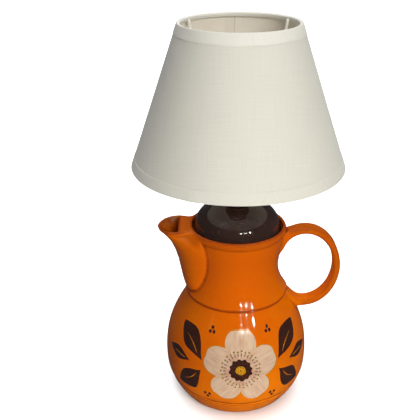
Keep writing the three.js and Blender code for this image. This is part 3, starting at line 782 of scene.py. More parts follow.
# ------------------------------------------------------------------------------------------------ materials
def glaze_orange():
    m = Mat("orange_glaze")
    p = m.coords()
    x, y, z = m.xyz(p)
    edge = m.attribute("edge")
    # slow drift of the colour, then small mottling, then brown on every edge and in every groove, partly thin glaze
    # and partly painted shade
    drift = m.noise(p, 9, 3, 0.5)
    base = m.mix(m.map(drift, 0.35, 0.65), srgb(240, 108, 0), srgb(252, 130, 0))
    # darker and browner up the neck than on the belly: painted shade of the lampshade above
    up = m.map(m.math("ADD", z, m.map(drift, 0.3, 0.7, -0.008, 0.008)), 0.105, 0.182, 0, 0.55)
    base = m.mix(up, base, srgb(196, 84, 0))
    mottle = m.noise(p, 220, 5, 0.6)
    base = m.mix(m.map(mottle, 0.45, 0.75, 0, 0.22), base, srgb(222, 88, 0))
    specks = m.voronoi(p, 700)
    spot = m.math("MULTIPLY", m.map(specks, 0.10, 0.03), m.map(m.noise(p, 60, 2), 0.55, 0.62))
    base = m.mix(m.math("MULTIPLY", spot, 0.35), base, srgb(150, 48, 4))
    wav = m.noise(p, 130, 3, 0.6)
    # brown on lips and edges: partly the glaze thinning there, partly painted shade on the rim and the handle's outer
    # side
    lip = m.map(m.math("ADD", edge, m.map(wav, 0.3, 0.7, -0.035, 0.035)), 0.12, 0.40, 0, 0.62)
    base = m.mix(lip, base, srgb(150, 52, 12))
    # darker brown in grooves, joins and the undercut below the rim: partly pooled glaze, partly painted shade
    pooled_glaze_and_shade = m.map(edge, -0.04, -0.28, 0, 0.68)
    base = m.mix(pooled_glaze_and_shade, base, srgb(120, 40, 4))
    # inside the pot and the spout the colour is a darker, streaked brown
    within = m.attribute("lining")
    runs = m.noise(m.combine(m.math("MULTIPLY", x, 60.0), m.math("MULTIPLY", y, 60.0), m.math("MULTIPLY", z, 14.0)), 1.0, 4, 0.6, 0.8)
    inner = m.ramp(runs, [(0.30, srgb(96, 40, 6)), (0.50, srgb(158, 72, 4)), (0.68, srgb(186, 88, 6))])
    base = m.mix(m.map(within, 0.25, 0.75), base, inner)
    # bare clay on the foot ring's flat
    clay = m.mix(m.noise(p, 400, 4), srgb(214, 190, 160), srgb(196, 166, 132))
    bare = m.map(m.math("ADD", z, m.map(wav, 0.3, 0.7, -0.0004, 0.0004)), 0.0009, 0.0004)
    base = m.mix(bare, base, clay)
    m.set(Base_Color=base, Roughness=m.map(bare, 0, 1, 0.30, 0.8), IOR=1.40)
    m.bsdf.inputs["Specular IOR Level"].default_value = 0.0
    m.put(m.bsdf.inputs["Coat Weight"], m.map(bare, 0, 1, 0.9, 0.0))
    m.bsdf.inputs["Coat Roughness"].default_value = 0.04
    m.bsdf.inputs["Coat IOR"].default_value = 1.5
    h = m.noise(p, 55, 2, 0.5)
    h2 = m.noise(p, 320, 3, 0.5)
    b = m.bump(h, 0.12, 0.0006)
    b = m.bump(h2, 0.04, 0.00015, b)
    m.set(Normal=b)
    return m


def glaze_brown():
    m = Mat("brown_glaze")
    p = m.coords()
    x, y, z = m.xyz(p)
    n1 = m.noise(p, 30, 3)
    base = m.mix(m.map(n1, 0.3, 0.7), srgb(46, 31, 27), srgb(57, 38, 32))
    n2 = m.noise(p, 300, 4, 0.6)
    base = m.mix(m.map(n2, 0.55, 0.8, 0, 0.3), base, srgb(84, 48, 34))
    m.set(Base_Color=base, Roughness=m.map(n2, 0.3, 0.7, 0.09, 0.14), IOR=1.5)
    m.bsdf.inputs["Coat Weight"].default_value = 0.5
    m.bsdf.inputs["Coat Roughness"].default_value = 0.04
    b = m.bump(m.noise(p, 60, 2, 0.5), 0.08, 0.0006)
    b = m.bump(m.noise(p, 350, 3, 0.5), 0.03, 0.00015, b)
    m.set(Normal=b)
    m.link(b, m.bsdf.inputs["Coat Normal"])
    return m


def paint(name, colours, scale=1.0, streak=True, root=None):
    """Hand-laid slip: brushed along the shape's own length, with the strokes' ridges in its gloss."""
    m = Mat(name)
    uv = m.coords("UV")
    u, v, _ = m.xyz(uv)
    p = m.coords()
    drag = m.noise(m.combine(m.math("MULTIPLY", u, 2.4), m.math("MULTIPLY", v, 15.0 * scale), 0.0), 1.0, 5, 0.6, 0.5)
    cloud = m.noise(p, 70, 3, 0.5)
    tone = m.math("ADD", m.math("MULTIPLY", drag, 0.75), m.math("MULTIPLY", cloud, 0.25)) if streak else cloud
    stops = [(0.30 + 0.42 * i / (len(colours) - 1), c) for i, c in enumerate(colours)]
    base = m.ramp(tone, stops)
    if root:
        base = m.mix(m.map(m.math("ADD", u, m.math("MULTIPLY", m.math("SUBTRACT", drag, 0.5), 0.9)), 0.42, 0.02, 0, 0.6), base, root)
    m.set(Base_Color=base, Roughness=m.map(drag, 0.3, 0.7, 0.16, 0.26), IOR=1.5)
    m.bsdf.inputs["Coat Weight"].default_value = 0.35
    m.bsdf.inputs["Coat Roughness"].default_value = 0.05
    b = m.bump(drag, 0.35, 0.0002)
    m.set(Normal=b)
    return m


def plain(name, colour, rough, metal=0.0, grain=300, spread=0.12, bump=0.08, second=None, coat=0.0):
    m = Mat(name)
    p = m.coords()
    n = m.noise(p, grain, 4, 0.6)
    n2 = m.noise(p, grain * 0.12, 3, 0.5)
    dark = second or tuple(c * 0.72 for c in colour)
    base = m.mix(m.map(m.math("ADD", m.math("MULTIPLY", n, 0.5), m.math("MULTIPLY", n2, 0.5)), 0.35, 0.65), dark, colour)
    m.set(Base_Color=base, Roughness=m.map(n, 0.3, 0.7, max(0.02, rough - spread), min(1, rough + spread)), Metallic=metal)
    m.bsdf.inputs["Coat Weight"].default_value = coat
    m.set(Normal=m.bump(n, bump, 0.0002))
    return m


def turned_metal(name, colour, rough=0.28):
    """Machined metal: fine rings left by the tool, brighter and duller by turns."""
    m = Mat(name)
    p = m.coords()
    x, y, z = m.xyz(p)
    r = m.math("SQRT", m.math("ADD", m.math("MULTIPLY", x, x), m.math("MULTIPLY", y, y)))
    rings = m.noise(m.combine(m.math("MULTIPLY", r, 2600.0), m.math("MULTIPLY", z, 2600.0), 0.0), 1.0, 2, 0.5)
    age = m.noise(p, 90, 4, 0.6)
    base = m.mix(m.map(age, 0.4, 0.75, 0, 0.55), colour, tuple(c * 0.55 for c in colour))
    m.set(Base_Color=base, Roughness=m.map(rings, 0.3, 0.7, rough - 0.08, rough + 0.14), Metallic=1.0)
    m.set(Normal=m.bump(rings, 0.12, 0.0001))
    return m


def linen(name, light, dark, pitch=0.00052, sheen=0.25):
    """Plain weave in the cloth's own flat coordinates, which the uv layer holds in metres."""
    m = Mat(name)
    u, v, _ = m.xyz(m.coords("UV"))
    f = 2 * math.pi / pitch
    wu, wv = m.math("SINE", m.math("MULTIPLY", u, f)), m.math("SINE", m.math("MULTIPLY", v, f))
    over = m.math("MULTIPLY", wu, wv)
    # slubs: thick threads that run along one direction for a while
    slub_v = m.noise(m.combine(m.math("MULTIPLY", u, 1500.0), m.math("MULTIPLY", v, 28.0), 0.0), 1.0, 3, 0.6)
    slub_h = m.noise(m.combine(m.math("MULTIPLY", u, 28.0), m.math("MULTIPLY", v, 1500.0), 5.0), 1.0, 3, 0.6)
    wide = m.noise(m.combine(m.math("MULTIPLY", u, 14.0), m.math("MULTIPLY", v, 14.0), 9.0), 1.0, 3, 0.5)
    t = m.math("ADD", m.math("MULTIPLY", slub_v, 0.45), m.math("MULTIPLY", slub_h, 0.45))
    t = m.math("ADD", t, m.math("MULTIPLY", wide, 0.10))
    base = m.mix(m.map(t, 0.36, 0.62), dark, light)
    base = m.mix(m.map(over, -1, 1, 0, 0.07), base, tuple(c * 0.7 for c in dark))
    m.set(Base_Color=base, Roughness=0.88)
    m.bsdf.inputs["Sheen Weight"].default_value = sheen
    m.bsdf.inputs["Sheen Roughness"].default_value = 0.5
    m.bsdf.inputs["Specular IOR Level"].default_value = 0.25
    h = m.math("ADD", m.math("MULTIPLY", over, 0.35), m.math("ADD", slub_v, slub_h))
    m.set(Normal=m.bump(h, 0.22, 0.00015))
    return m


def shade_lining():
    """Smooth styrene under the cloth, with the glued lap showing as a fine darker line."""
    m = Mat("lining")
    p = m.coords()
    x, y, z = m.xyz(p)
    n = m.noise(p, 26, 3)
    n2 = m.noise(p, 420, 3)
    base = m.mix(m.map(n, 0.35, 0.65), srgb(240, 232, 217), srgb(249, 242, 229))
    base = m.mix(m.map(n2, 0.5, 0.8, 0, 0.25), base, srgb(228, 219, 202))
    a = math.radians(92)
    across = m.math("SUBTRACT", m.math("MULTIPLY", x, math.sin(a)), m.math("MULTIPLY", y, math.cos(a)))
    on_back = m.map(y, 0.0, 0.01)
    line = m.math("MULTIPLY", m.map(m.math("ABSOLUTE", across), 0.0009, 0.0003), on_back)
    base = m.mix(m.math("MULTIPLY", line, 0.45), base, srgb(190, 176, 154))
    lap = m.math("MULTIPLY", m.math("MULTIPLY", m.map(across, -0.0092, -0.0088), m.map(across, 0.0, -0.0004)), on_back)
    base = m.mix(m.math("MULTIPLY", lap, 0.12), base, srgb(214, 200, 178))
    m.set(Base_Color=base, Roughness=m.map(n2, 0.3, 0.7, 0.5, 0.62))
    m.bsdf.inputs["Specular IOR Level"].default_value = 0.3
    m.set(Normal=m.bump(n2, 0.05, 0.0001))
    return m


ORANGE, BROWN = glaze_orange(), glaze_brown()
PETAL = paint("petal_slip", [srgb(216, 166, 136), srgb(230, 190, 160), srgb(236, 204, 172), srgb(242, 216, 190)], 1.0, root=srgb(196, 120, 84))
HALO = paint("ochre_slip", [srgb(204, 110, 2), srgb(224, 132, 4), srgb(232, 150, 10)], 0.6)
LEAF = paint("leaf_slip", [srgb(48, 24, 18), srgb(66, 34, 24), srgb(92, 40, 16)], 0.8)
CORE = paint("core_slip", [srgb(200, 128, 6), srgb(226, 156, 8), srgb(238, 178, 30)], 1.4)
OLIVE = paint("olive_slip", [srgb(112, 96, 10), srgb(150, 126, 14), srgb(176, 138, 20)], 1.0, False)
DARK = paint("dark_slip", [srgb(40, 22, 18), srgb(56, 30, 26)], 1.0, False)
BLACK_PLASTIC = plain("black_plastic", srgb(34, 33, 34), 0.32, grain=420, spread=0.08, bump=0.10, coat=0.1)
RUBBER = plain("black_rubber", srgb(38, 36, 35), 0.75, grain=500, bump=0.2)
BRASS = turned_metal("brass", srgb(206, 170, 96), 0.24)
ZINC = turned_metal("zinc_steel", srgb(186, 190, 196), 0.34)
NICKEL = turned_metal("nickel", srgb(208, 204, 196), 0.26)
SOLDER = plain("solder", srgb(176, 176, 176), 0.42, 1.0, grain=200, bump=0.4)
PORCELAIN = plain("porcelain", srgb(236, 233, 226), 0.22, grain=160, spread=0.05, bump=0.04, second=srgb(222, 218, 208), coat=0.4)
VITRITE = plain("black_glass", srgb(22, 22, 26), 0.12, grain=200, bump=0.05, coat=0.4)
WIRE_WHITE = plain("white_wire", srgb(246, 243, 235), 0.42, grain=380, bump=0.15, second=srgb(234, 230, 219))
FILAMENT = plain("filament_wire", srgb(150, 150, 152), 0.4, 1.0, grain=800)
LINEN = linen("linen", srgb(231, 228, 217), srgb(222, 219, 208))
# one tape in two copies: a lighter one on the top edge and a darker one on the bottom edge, the difference is painted
# light and shade
TAPE_TOP_LIT = linen("tape", srgb(241, 238, 229), srgb(234, 231, 221), 0.0006, 0.3)
TAPE_BOTTOM_SHADED = linen("tape_bottom_shaded", srgb(232, 229, 218), srgb(224, 221, 210), 0.0006, 0.3)
LINING = shade_lining()


def glass(name, tint, rough, transmission):
    m = Mat(name)
    p = m.coords()
    n = m.noise(p, 40, 2)
    m.set(Base_Color=m.mix(m.map(n, 0.3, 0.7), tint, tuple(c * 0.96 for c in tint)), Roughness=rough, IOR=1.46)
    m.bsdf.inputs["Transmission Weight"].default_value = transmission
    m.set(Normal=m.bump(m.noise(p, 18, 1), 0.05, 0.0004))
    return m


OPAL = glass("opal_glass", (0.90, 0.90, 0.88), 0.28, 0.45)
CLEAR = glass("clear_glass", (0.96, 0.98, 0.98), 0.03, 0.95)

pot = make_pot(ORANGE)
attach(pot, "pot")
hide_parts("pot_body")

# ------------------------------------------------------------------------------------------------ painted flower
# Laid on the belly in thin raised slip. Angles are in degrees round from -Y towards +X, lengths in mm.


def on_pot(phi, z, h):
    r = float(profile_radius(z))
    slope = float(profile_radius(z + 0.6) - profile_radius(z - 0.6)) / 1.2
    k = 1 / math.hypot(1, slope)
    rr, zz = r + h * k, z - h * slope * k
    a = math.radians(phi)
    return (rr * math.sin(a) * MM, -rr * math.cos(a) * MM, zz * MM)


class Layer:
    def __init__(self, name, material):
        self.name, self.material, self.v, self.f, self.uv = name, material, [], [], []

    def blob(self, phi, z, a, b, turn=0.0, wob=0.03, seed=0, lift=0.18, n=48, bend=None, power=2.0, teeth=0.0, notch=0.0, egg=0.0, lobes=0):
        """A rounded patch: half lengths a and b, turned by turn degrees, with an uneven edge."""
        g = np.random.default_rng(seed)
        ph = g.uniform(0, 2 * math.pi, 6)
        rings = [0.35, 0.62, 0.82, 0.93, 0.98, 1.0]
        base = len(self.v)
        c, s_ = math.cos(math.radians(turn)), math.sin(math.radians(turn))

        def put(x, y, h, u, v):
            X, Y = x * c - y * s_, x * s_ + y * c
            zz = z + Y
            self.v.append(on_pot(phi + math.degrees(X / float(profile_radius(zz))), zz, h))
            self.uv.append((u, v))

        put(0, 0, lift, 0.5, 0.5)
        for t in rings:
            h = -0.08 + (lift + 0.08) * (1 - t**7)
            for k in range(n):
                th = 2 * math.pi * k / n
                ct, st = math.cos(th), math.sin(th)
                rad = (abs(ct) ** power + abs(st) ** power) ** (-1 / power)
                rad *= 1 + wob * (math.sin(2 * th + ph[0]) + 0.8 * math.sin(3 * th + ph[1]) + 0.45 * math.sin(5 * th + ph[2]) + 0.3 * math.sin(9 * th + ph[3]))
                rad *= 1 + teeth * (math.sin(7 * th + ph[4]) + 0.7 * math.sin(12 * th + ph[5]))
                rad *= 1 - notch * math.exp(-(((th + math.pi) % (2 * math.pi) - math.pi) / 0.3) ** 2)
                if lobes:
                    rad *= 1 + 0.07 * math.cos(lobes * th)
                x, y = a * t * rad * ct, b * t * rad * st * (1 + egg * ct)
                if bend:
                    y += bend * (x / a) ** 2
                put(x, y, h, 0.5 + 0.5 * x / a, 0.5 + 0.5 * y / b)
        for k in range(n):
            j = (k + 1) % n
            self.f.append((base, base + 1 + k, base + 1 + j))
            for q in range(len(rings) - 1):
                o, p = base + 1 + q * n, base + 1 + (q + 1) * n
                self.f.append((o + k, p + k, p + j, o + j))

    def leaf(self, p0, p1, width, fat=0.62, curl=0.0, seed=0, lift=0.18, rows=26, tip=0.9):
        """A long brush stroke from p0 to p1, each (degrees, z), widest at share fat of its length."""
        g = np.random.default_rng(seed)
        ph = g.uniform(0, 2 * math.pi, 4)
        rm = float(profile_radius((p0[1] + p1[1]) / 2))
        x0, x1 = math.radians(p0[0]) * rm, math.radians(p1[0]) * rm
        d = np.array([x1 - x0, p1[1] - p0[1]])
        L = float(np.linalg.norm(d))
        d /= L
        nrm = np.array([-d[1], d[0]])
        cols = [-1, -0.97, -0.88, -0.6, -0.2, 0.2, 0.6, 0.88, 0.97, 1]
        base = len(self.v)
        for i in range(rows + 1):
            t = i / rows
            # share of the width: a teardrop that is widest at fat
            q = t / fat if t < fat else (1 - t) / (1 - fat)
            w = width / 2 * (math.sin(q * math.pi / 2) ** (1.25 if t < fat else tip))
            w *= 1 + 0.05 * math.sin(9 * t + ph[0])
            mid = np.array([x0, p0[1]]) + d * L * t + nrm * curl * math.sin(math.pi * t)
            end = min(1.0, min(t, 1 - t) * rows / 1.2)
            for c in cols:
                off = nrm * c * w * (1 + 0.03 * math.sin(14 * t + ph[1] + c))
                x, zz = mid + off
                h = -0.08 + (lift + 0.08) * (1 - abs(c) ** 8) * end
                self.v.append(on_pot(math.degrees(x / float(profile_radius(zz)) * (float(profile_radius(zz)) / rm)), zz, h))
                self.uv.append((t * 0.6, 0.5 + c * 0.5))
        m = len(cols)
        for i in range(rows):
            for c in range(m - 1):
                a = base + i * m + c
                self.f.append((a, a + 1, a + m + 1, a + m))

    def done(self, slot):
        o = obj_from(self.name, self.v, self.f, self.material, uvs=self.uv)
        # faces look away from the pot
        me = o.data
        flip = []
        for poly in me.polygons:
            c, n = poly.center, poly.normal
            if c.x * n.x + c.y * n.y < 0:
                flip.append(poly.index)
        if flip:
            bm = bmesh.new()
            bm.from_mesh(me)
            bm.faces.ensure_lookup_table()
            bmesh.ops.reverse_faces(bm, faces=[bm.faces[i] for i in flip])
            bm.to_mesh(me)
            bm.free()
        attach(o, "pot")
        return o


MID, MIDZ = 1.5, 66.0  # the flower's middle


def around(rad, deg):
    """The place rad mm from the flower's middle, in the direction deg."""
    a = math.radians(deg)
    z = MIDZ + rad * math.sin(a)
    return MID + math.degrees(rad * math.cos(a) / 71.0), z


halo, petals = Layer("flower_halo", HALO), Layer("flower_petals", PETAL)
for k in range(5):
    deg = 90 + 72 * k
    ph, z = around(21.8, deg)
    halo.blob(ph, z, 19.4, 17.3, deg, 0.012, 3 + k, 0.08, 72, notch=0.07, egg=0.14)
    petals.blob(ph, z, 17.6, 15.6, deg, 0.010, 13 + k, 0.20, 72, notch=0.08, egg=0.14)
leaves = Layer("flower_leaves", LEAF)
for side in (-1, 1):
    for (p0, z0), (p1, z1), width, fat, curl in (((31.5, 70.5), (60.0, 99.0), 22.0, 0.58, 2.8), ((32.0, 60.5), (55.0, 36.0), 22.0, 0.55, -2.8), ((43.0, 65.5), (70.0, 68.5), 13.5, 0.55, 0.0)):
        leaves.leaf((MID + side * p0, z0), (MID + side * p1, z1), width, fat, side * curl, 7)
        # a pale vein down the middle of each leaf
        a, b = 0.16, 0.72
        q0, q1 = (p0 + (p1 - p0) * a, z0 + (z1 - z0) * a), (p0 + (p1 - p0) * b, z0 + (z1 - z0) * b)
        halo.leaf((MID + side * q0[0], q0[1]), (MID + side * q1[0], q1[1]), 1.1, 0.3, side * curl * 0.8, 9, 0.30, 16)
for side in (-1, 1):
    for z0 in (101.0, 33.5):
        # three round dots in the gaps above and below
        for dx, dz in ((0, 2.2), (-2.1, -1.4), (2.1, -1.4)):
            up = 1 if z0 > 66 else -1
            leaves.blob(MID + side * 26.5 + math.degrees(dx / 66), z0 + dz * up, 1.7, 1.7, 0, 0.03, 5, 0.16, 24)
halo.done("orange_glaze")
petals.done("orange_glaze")
leaves.done("brown_glaze")

heart = Layer("flower_heart", LEAF)
heart.blob(MID, MIDZ, 12.8, 12.8, 9, 0.012, 77, 0.30, 144, lobes=12)
heart.done("brown_glaze")
core = Layer("flower_core", CORE)
core.blob(MID, MIDZ, 6.0, 6.0, 0, 0.03, 90, 0.40, 60)
core.done("orange_glaze")
# stamens: an even ring of dashes, each with a dot at its end
olive, dark = Layer("flower_stamens", OLIVE), Layer("flower_flecks", DARK)
for k in range(30):
    deg = 12 * k + 3
    ph, z = around(15.6, deg)
    dark.blob(ph, z, 1.9, 0.42, deg, 0.04, 200 + k, 0.32, 16)
    ph, z = around(19.2 if k % 2 else 18.2, deg)
    olive.blob(ph, z, 1.05, 1.05, deg, 0.05, 300 + k, 0.34, 18)
for k in range(8):
    ph, z = around(3.7, 45 * k)
    dark.blob(ph, z, 0.55, 0.55, 0, 0.04, 400 + k, 0.47, 14)
dark.blob(MID, MIDZ, 0.9, 0.9, 0, 0.04, 420, 0.48, 18)
olive.done("orange_glaze")
dark.done("brown_glaze")

# ------------------------------------------------------------------------------------------------ lid and hardware


def ride(o, body, node):
    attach(o, body)
    if node:
        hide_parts(node)
    return o


def arc(a, c, z0, t0, t1, n):
    return [(a * math.cos(math.radians(t0 + (t1 - t0) * i / n)), z0 + c * math.sin(math.radians(t0 + (t1 - t0) * i / n))) for i in range(n + 1)]


lid_ring = [(5.6, 213.2), (5.6, 208.4), (13.4, 208.4)] + arc(35.8, 20.7, 189.3, 64, 0, 24) + [(34.6, 172.5), (37.4, 172.5), (38.3, 184.2), (42.2, 184.4), (42.7, 186.2), (42.1, 188.2)] + arc(41.0, 25.2, 189.3, 4, 67, 36) + [(13.6, 213.2)]
ride(lathe("lid_glazed", rounded(lid_ring, 0.7, 4), BROWN, 144), "lid_unit", "lid")


def thread(radius, depth, pitch, z):
    return lambda a: radius + depth * math.cos(2 * math.pi * (z / pitch) - a)


zs_t = np.arange(193.4, 238.8, 0.25)
tube_ring = [(3.6, 193.0), (4.6, 193.0)] + [(thread(4.72, 0.2, 1.0, z), float(z)) for z in zs_t] + [(4.6, 239.0), (3.6, 239.0)]
ride(lathe("tube_threaded", tube_ring, ZINC, 40, smooth_angle=70), "lid_unit", "threaded_tube")
ride(lathe("washer_rubber_low", rounded([(5.4, 206.2), (13.0, 206.2), (13.0, 208.1), (5.4, 208.1)], 0.4), RUBBER, 64), "lid_unit", "rubber_washer_lower")
ride(lathe("washer_steel", rounded([(5.3, 204.3), (14.8, 204.3), (14.8, 205.9), (5.3, 205.9)], 0.25), ZINC, 64), "lid_unit", "steel_washer")
ride(lathe("washer_rubber_up", rounded([(5.4, 213.5), (12.2, 213.5), (12.2, 215.0), (5.4, 215.0)], 0.35), RUBBER, 64), "lid_unit", "rubber_washer_upper")


def hexagon(flats, cap):
    def f(a):
        t = (a % (math.pi / 3)) - math.pi / 6
        return min(flats / 2 / math.cos(t), cap)

    return f


def nut(name, flats, z0, z1, material):
    corner = flats / math.sqrt(3)
    rows = [(5.25, z0 + 0.4), (5.7, z0), (corner - 1.5, z0)]
    for i in range(7):
        t = i / 6
        rows.append((hexagon(flats, corner - 0.95 * (1 - t) ** 1.6), z0 + 0.9 * t))
    for i in range(7):
        t = i / 6
        rows.append((hexagon(flats, corner - 0.95 * t**1.6), z1 - 0.9 + 0.9 * t))
    rows += [(corner - 1.5, z1), (5.7, z1), (5.25, z1 - 0.4)]
    return lathe(name, rows, material, 120, smooth_angle=25)


ride(nut("nut_low", 17, 199.0, 204.0, ZINC), "lid_unit", "hex_nut_lower")
ride(nut("nut_up", 15.5, 223.9, 227.7, BRASS), "lid_unit", "hex_nut_upper")
cap_ring = [(5.3, 215.3), (16.2, 215.3), (16.6, 215.8), (16.6, 217.0), (16.1, 217.5), (15.2, 217.9), (13.6, 219.3), (12.3, 221.0), (11.5, 222.4), (11.0, 223.0), (10.6, 223.6), (5.3, 223.6)]
ride(lathe("cap_brass", rounded(cap_ring, 0.25), BRASS, 96), "lid_unit", "vase_cap")

base_ring = [(5.3, 228.0), (9.0, 228.0), (9.3, 229.2), (10.2, 232.0), (12.6, 234.4), (15.8, 236.4), (18.6, 238.4), (20.4, 240.6), (21.4, 243.2), (21.6, 246.0), (21.6, 248.9), (19.6, 248.9),
             (19.4, 243.6), (17.0, 240.2), (8.2, 233.8), (5.3, 233.6)]


ride(lathe("holder_base", rounded(base_ring, 0.5, 3), BLACK_PLASTIC, 144), "lid_unit", "lampholder_base")
shell_z = [249.9 + 0.35 * i for i in range(22)]
shell_ring = [(19.2, 249.2), (22.0, 249.2), (22.4, 249.6)] + [(22.4, z) for z in shell_z] + [(22.4, 257.8), (25.1, 259.3), (25.4, 259.7), (25.4, 261.1), (25.1, 261.4), (20.2, 261.4)]
shell_ring += [(thread(19.5, 0.38, 2.5, z), float(z)) for z in np.arange(261.6, 273.3, 0.25)]
shell_ring += [(19.0, 273.8), (18.5, 274.4), (18.3, 275.4), (17.9, 278.4), (17.3, 279.0), (16.2, 279.0), (15.9, 278.6), (15.6, 272.0), (14.9, 270.6), (14.9, 251.4), (19.2, 251.0)]


def grip(a, r, z):
    if abs(r - 22.4) < 0.02 and 250.2 < z < 257.2:
        e = min(1, (z - 250.2) / 0.8, (257.2 - z) / 0.8)
        return (-0.55 * e * (0.5 - 0.5 * math.cos(36 * a)), 0)
    return (0, 0)


ride(lathe("holder_shell", shell_ring, BLACK_PLASTIC, 216, wobble=grip, smooth_angle=50), "lid_unit", "lampholder_shell")


def flutes(base, depth, count):
    return lambda a: base - depth * (0.5 - 0.5 * math.cos(count * a)) ** 1.5


rr_ring = [(20.4, 264.2), (25.2, 264.2)] + [(flutes(26.4, 0.9 * f, 20), z) for z, f in ((264.5, 0.6), (265.0, 1), (266.5, 1), (268.0, 1), (269.4, 1), (269.9, 0.6))] + [(25.2, 270.2), (20.4, 270.2)]
ride(lathe("ring_fluted", rr_ring, BLACK_PLASTIC, 200, smooth_angle=50), "ring", "shade_ring")
ride(lathe("shell_brass", rounded([(13.6, 247.5), (14.2, 247.5), (14.2, 270.2), (13.6, 270.2)], 0.15, 2), BRASS, 96), "lid_unit", "screw_shell")
for n in ("terminal_block",):
    NODES[n].data.materials.clear()
    NODES[n].data.materials.append(PORCELAIN.m)
for n in ("terminal_screw_live", "terminal_screw_neutral", "centre_contact"):
    NODES[n].data.materials.clear()
    NODES[n].data.materials.append(BRASS.m)

grom = [(3.4, 64.0), (8.2, 64.0), (8.0, 65.2), (5.7, 65.4), (5.7, 73.2), (8.6, 73.4), (8.3, 74.8), (6.4, 75.5), (3.8, 75.6), (3.4, 75.2)]
grommet = lathe("grommet_rubber", rounded(grom, 0.4, 3), RUBBER, 64)
grommet.data.transform(Matrix.Rotation(math.radians(-90), 4, "X"))
grommet.data.transform(Matrix.Translation((0, 0, 0.040)))
ride(grommet, "pot", "cable_grommet")

# ------------------------------------------------------------------------------------------------ bulb
ride(lathe("bulb_tip_solder", [(0, 244.8), (1.6, 244.82), (3.0, 245.05), (4.0, 245.7), (4.3, 246.4), (0, 246.4)], SOLDER, 40), "bulb_tip", "bulb_contact")
ride(lathe("bulb_vitrite", rounded([(0, 246.7), (6.4, 246.7), (8.6, 247.8), (10.6, 249.6), (10.6, 250.2), (0, 250.2)], 0.2), VITRITE, 64), "bulb", "bulb_insulator")
cap = [(10.9, 250.5), (12.2, 250.6), (12.6, 251.6)] + [(thread(12.75, 0.36, 3.63, z), float(z)) for z in np.arange(252.4, 268.2, 0.33)] + [(12.9, 269.0), (12.95, 270.0), (12.95, 272.4), (12.6, 272.6), (12.35, 272.2), (12.3, 269.0)]
cap += [(thread(12.2, 0.22, 3.63, z), float(z)) for z in np.arange(268.0, 252.6, -0.66)] + [(10.9, 251.2)]
ride(lathe("bulb_cap_nickel", cap, NICKEL, 96, smooth_angle=60), "bulb", "bulb_cap")
glass_out = [(11.9, 262.0), (11.9, 268.0), (11.9, 273.4), (12.7, 277.0), (14.8, 282.4), (18.7, 290.4), (23.2, 298.2), (27.0, 305.6), (29.2, 312.4), (29.9, 319.0), (29.3, 326.0), (27.2, 332.6), (23.4, 339.0), (17.8, 344.2), (11.0, 347.6), (5.4, 348.9), (0, 349.2)]
outer = smooth_profile(glass_out, 1.6)
inner = [(max(0.0, r - 0.75), z - (0.75 if z > 330 else 0)) for r, z in outer]
inner[-1] = (0, 348.4)
ride(lathe("bulb_envelope", outer + inner[::-1], OPAL, 96), "bulb", "bulb_glass")
ride(lathe("bulb_flare", smooth_profile([(0, 256.0, 1), (10.0, 256.0, 1), (8.8, 259.4), (5.6, 262.6), (4.2, 266.0), (3.5, 276.0), (3.2, 287.0), (1.8, 289.6), (0, 290.0, 1)], 1.0), CLEAR, 40), "bulb", "bulb_stem")
lead = [(-2.4, 290.6), (-3.6, 297), (-8.5, 306), (-12.8, 314), (-6.5, 316.5), (0, 317.2), (6.5, 316.5), (12.8, 314), (8.5, 306), (3.6, 297), (2.4, 290.6)]
ride(tube("bulb_wire", [(x, 0, z) for x, z in lead], 0.35, FILAMENT, 8), "bulb", "bulb_filament")

# ------------------------------------------------------------------------------------------------ shade
TOP_Z, TOP_R, BOT_Z, BOT_R = 381.8, 55.0, 250.9, 100.0
SLOPE = (BOT_R - TOP_R) / (TOP_Z - BOT_Z)
LEAN = math.atan(SLOPE)
CL, SL = math.cos(LEAN), math.sin(LEAN)
SLANT = (TOP_Z - BOT_Z) / CL
TAPE_T, GAP, CLOTH_T, WIRE_R = 0.32, 0.05, 0.7, 1.0
N2 = -TAPE_T
N3 = N2 - CLOTH_T
FOLD = N3 - GAP - 2 * WIRE_R - 0.35


ARM_R = 1.4


def cone(s, n):
    return (TOP_R + s * SL + n * CL, TOP_Z - s * CL + n * SL)


SEAM = math.radians(92)  # the cloth's lap, round from +X


def flat_uv(verts):
    """Where each point lies on the cloth laid flat, in metres, with the middle of the front as the middle."""
    co = np.array([tuple(v) for v in verts], float)
    th = np.arctan2(co[:, 0], -co[:, 1])
    rho = np.hypot(co[:, 0], co[:, 1]) / SL
    return np.stack([rho * np.sin(th * SL), -rho * np.cos(th * SL)], 1)


def cloth_tube(name, ring, material, seg=240, wobble=None, materials=(), pick=None, uv=None, bias=0.0):
    o = lathe(name, ring, material, seg, wobble, smooth_angle=55)
    me = o.data
    flat = flat_uv([v.co for v in me.vertices]) if uv is None else uv(me)
    if bias:
        c, s_ = math.cos(bias), math.sin(bias)
        flat = flat @ np.array([[c, s_], [-s_, c]])
    layer = me.uv_layers.new(name="uv")
    loops = np.zeros(len(me.loops), int)
    me.loops.foreach_get("vertex_index", loops)
    layer.data.foreach_set("uv", flat[loops].ravel())
    for extra in materials:
        me.materials.append(extra.m)
    if pick:
        for p in me.polygons:
            p.material_index = pick(p)
    return o


g = np.random.default_rng(5)
PH = g.uniform(0, 6.28, 12)


def drift(a, s):
    return 0.10 * math.sin(2 * a + PH[0]) + 0.07 * math.sin(3 * a + PH[1] + s * 0.02) + 0.04 * math.sin(7 * a + PH[2] - s * 0.05)


def cloth_wobble(a, r, z):
    s = (TOP_Z - z) / CL
    mid = max(0.0, math.sin(math.pi * min(1, max(0, (s - 9) / (SLANT - 18)))))
    d = drift(a, s) * mid
    # the lap: the outer layer lies 0.4 mm over the inner one for 9 mm
    da = (a - SEAM + math.pi) % (2 * math.pi) - math.pi
    over = 0.0
    if 0 <= da * r <= 9:
        over = 0.42 * min(1.0, max(0.0, (s - 6) / 6)) * min(1.0, max(0.0, (SLANT - 6 - s) / 6))
    inside = r < TOP_R + s * SL + (N2 + N3) / 2 * CL
    return ((d - over) if inside else (d + over * 0.8), 0)


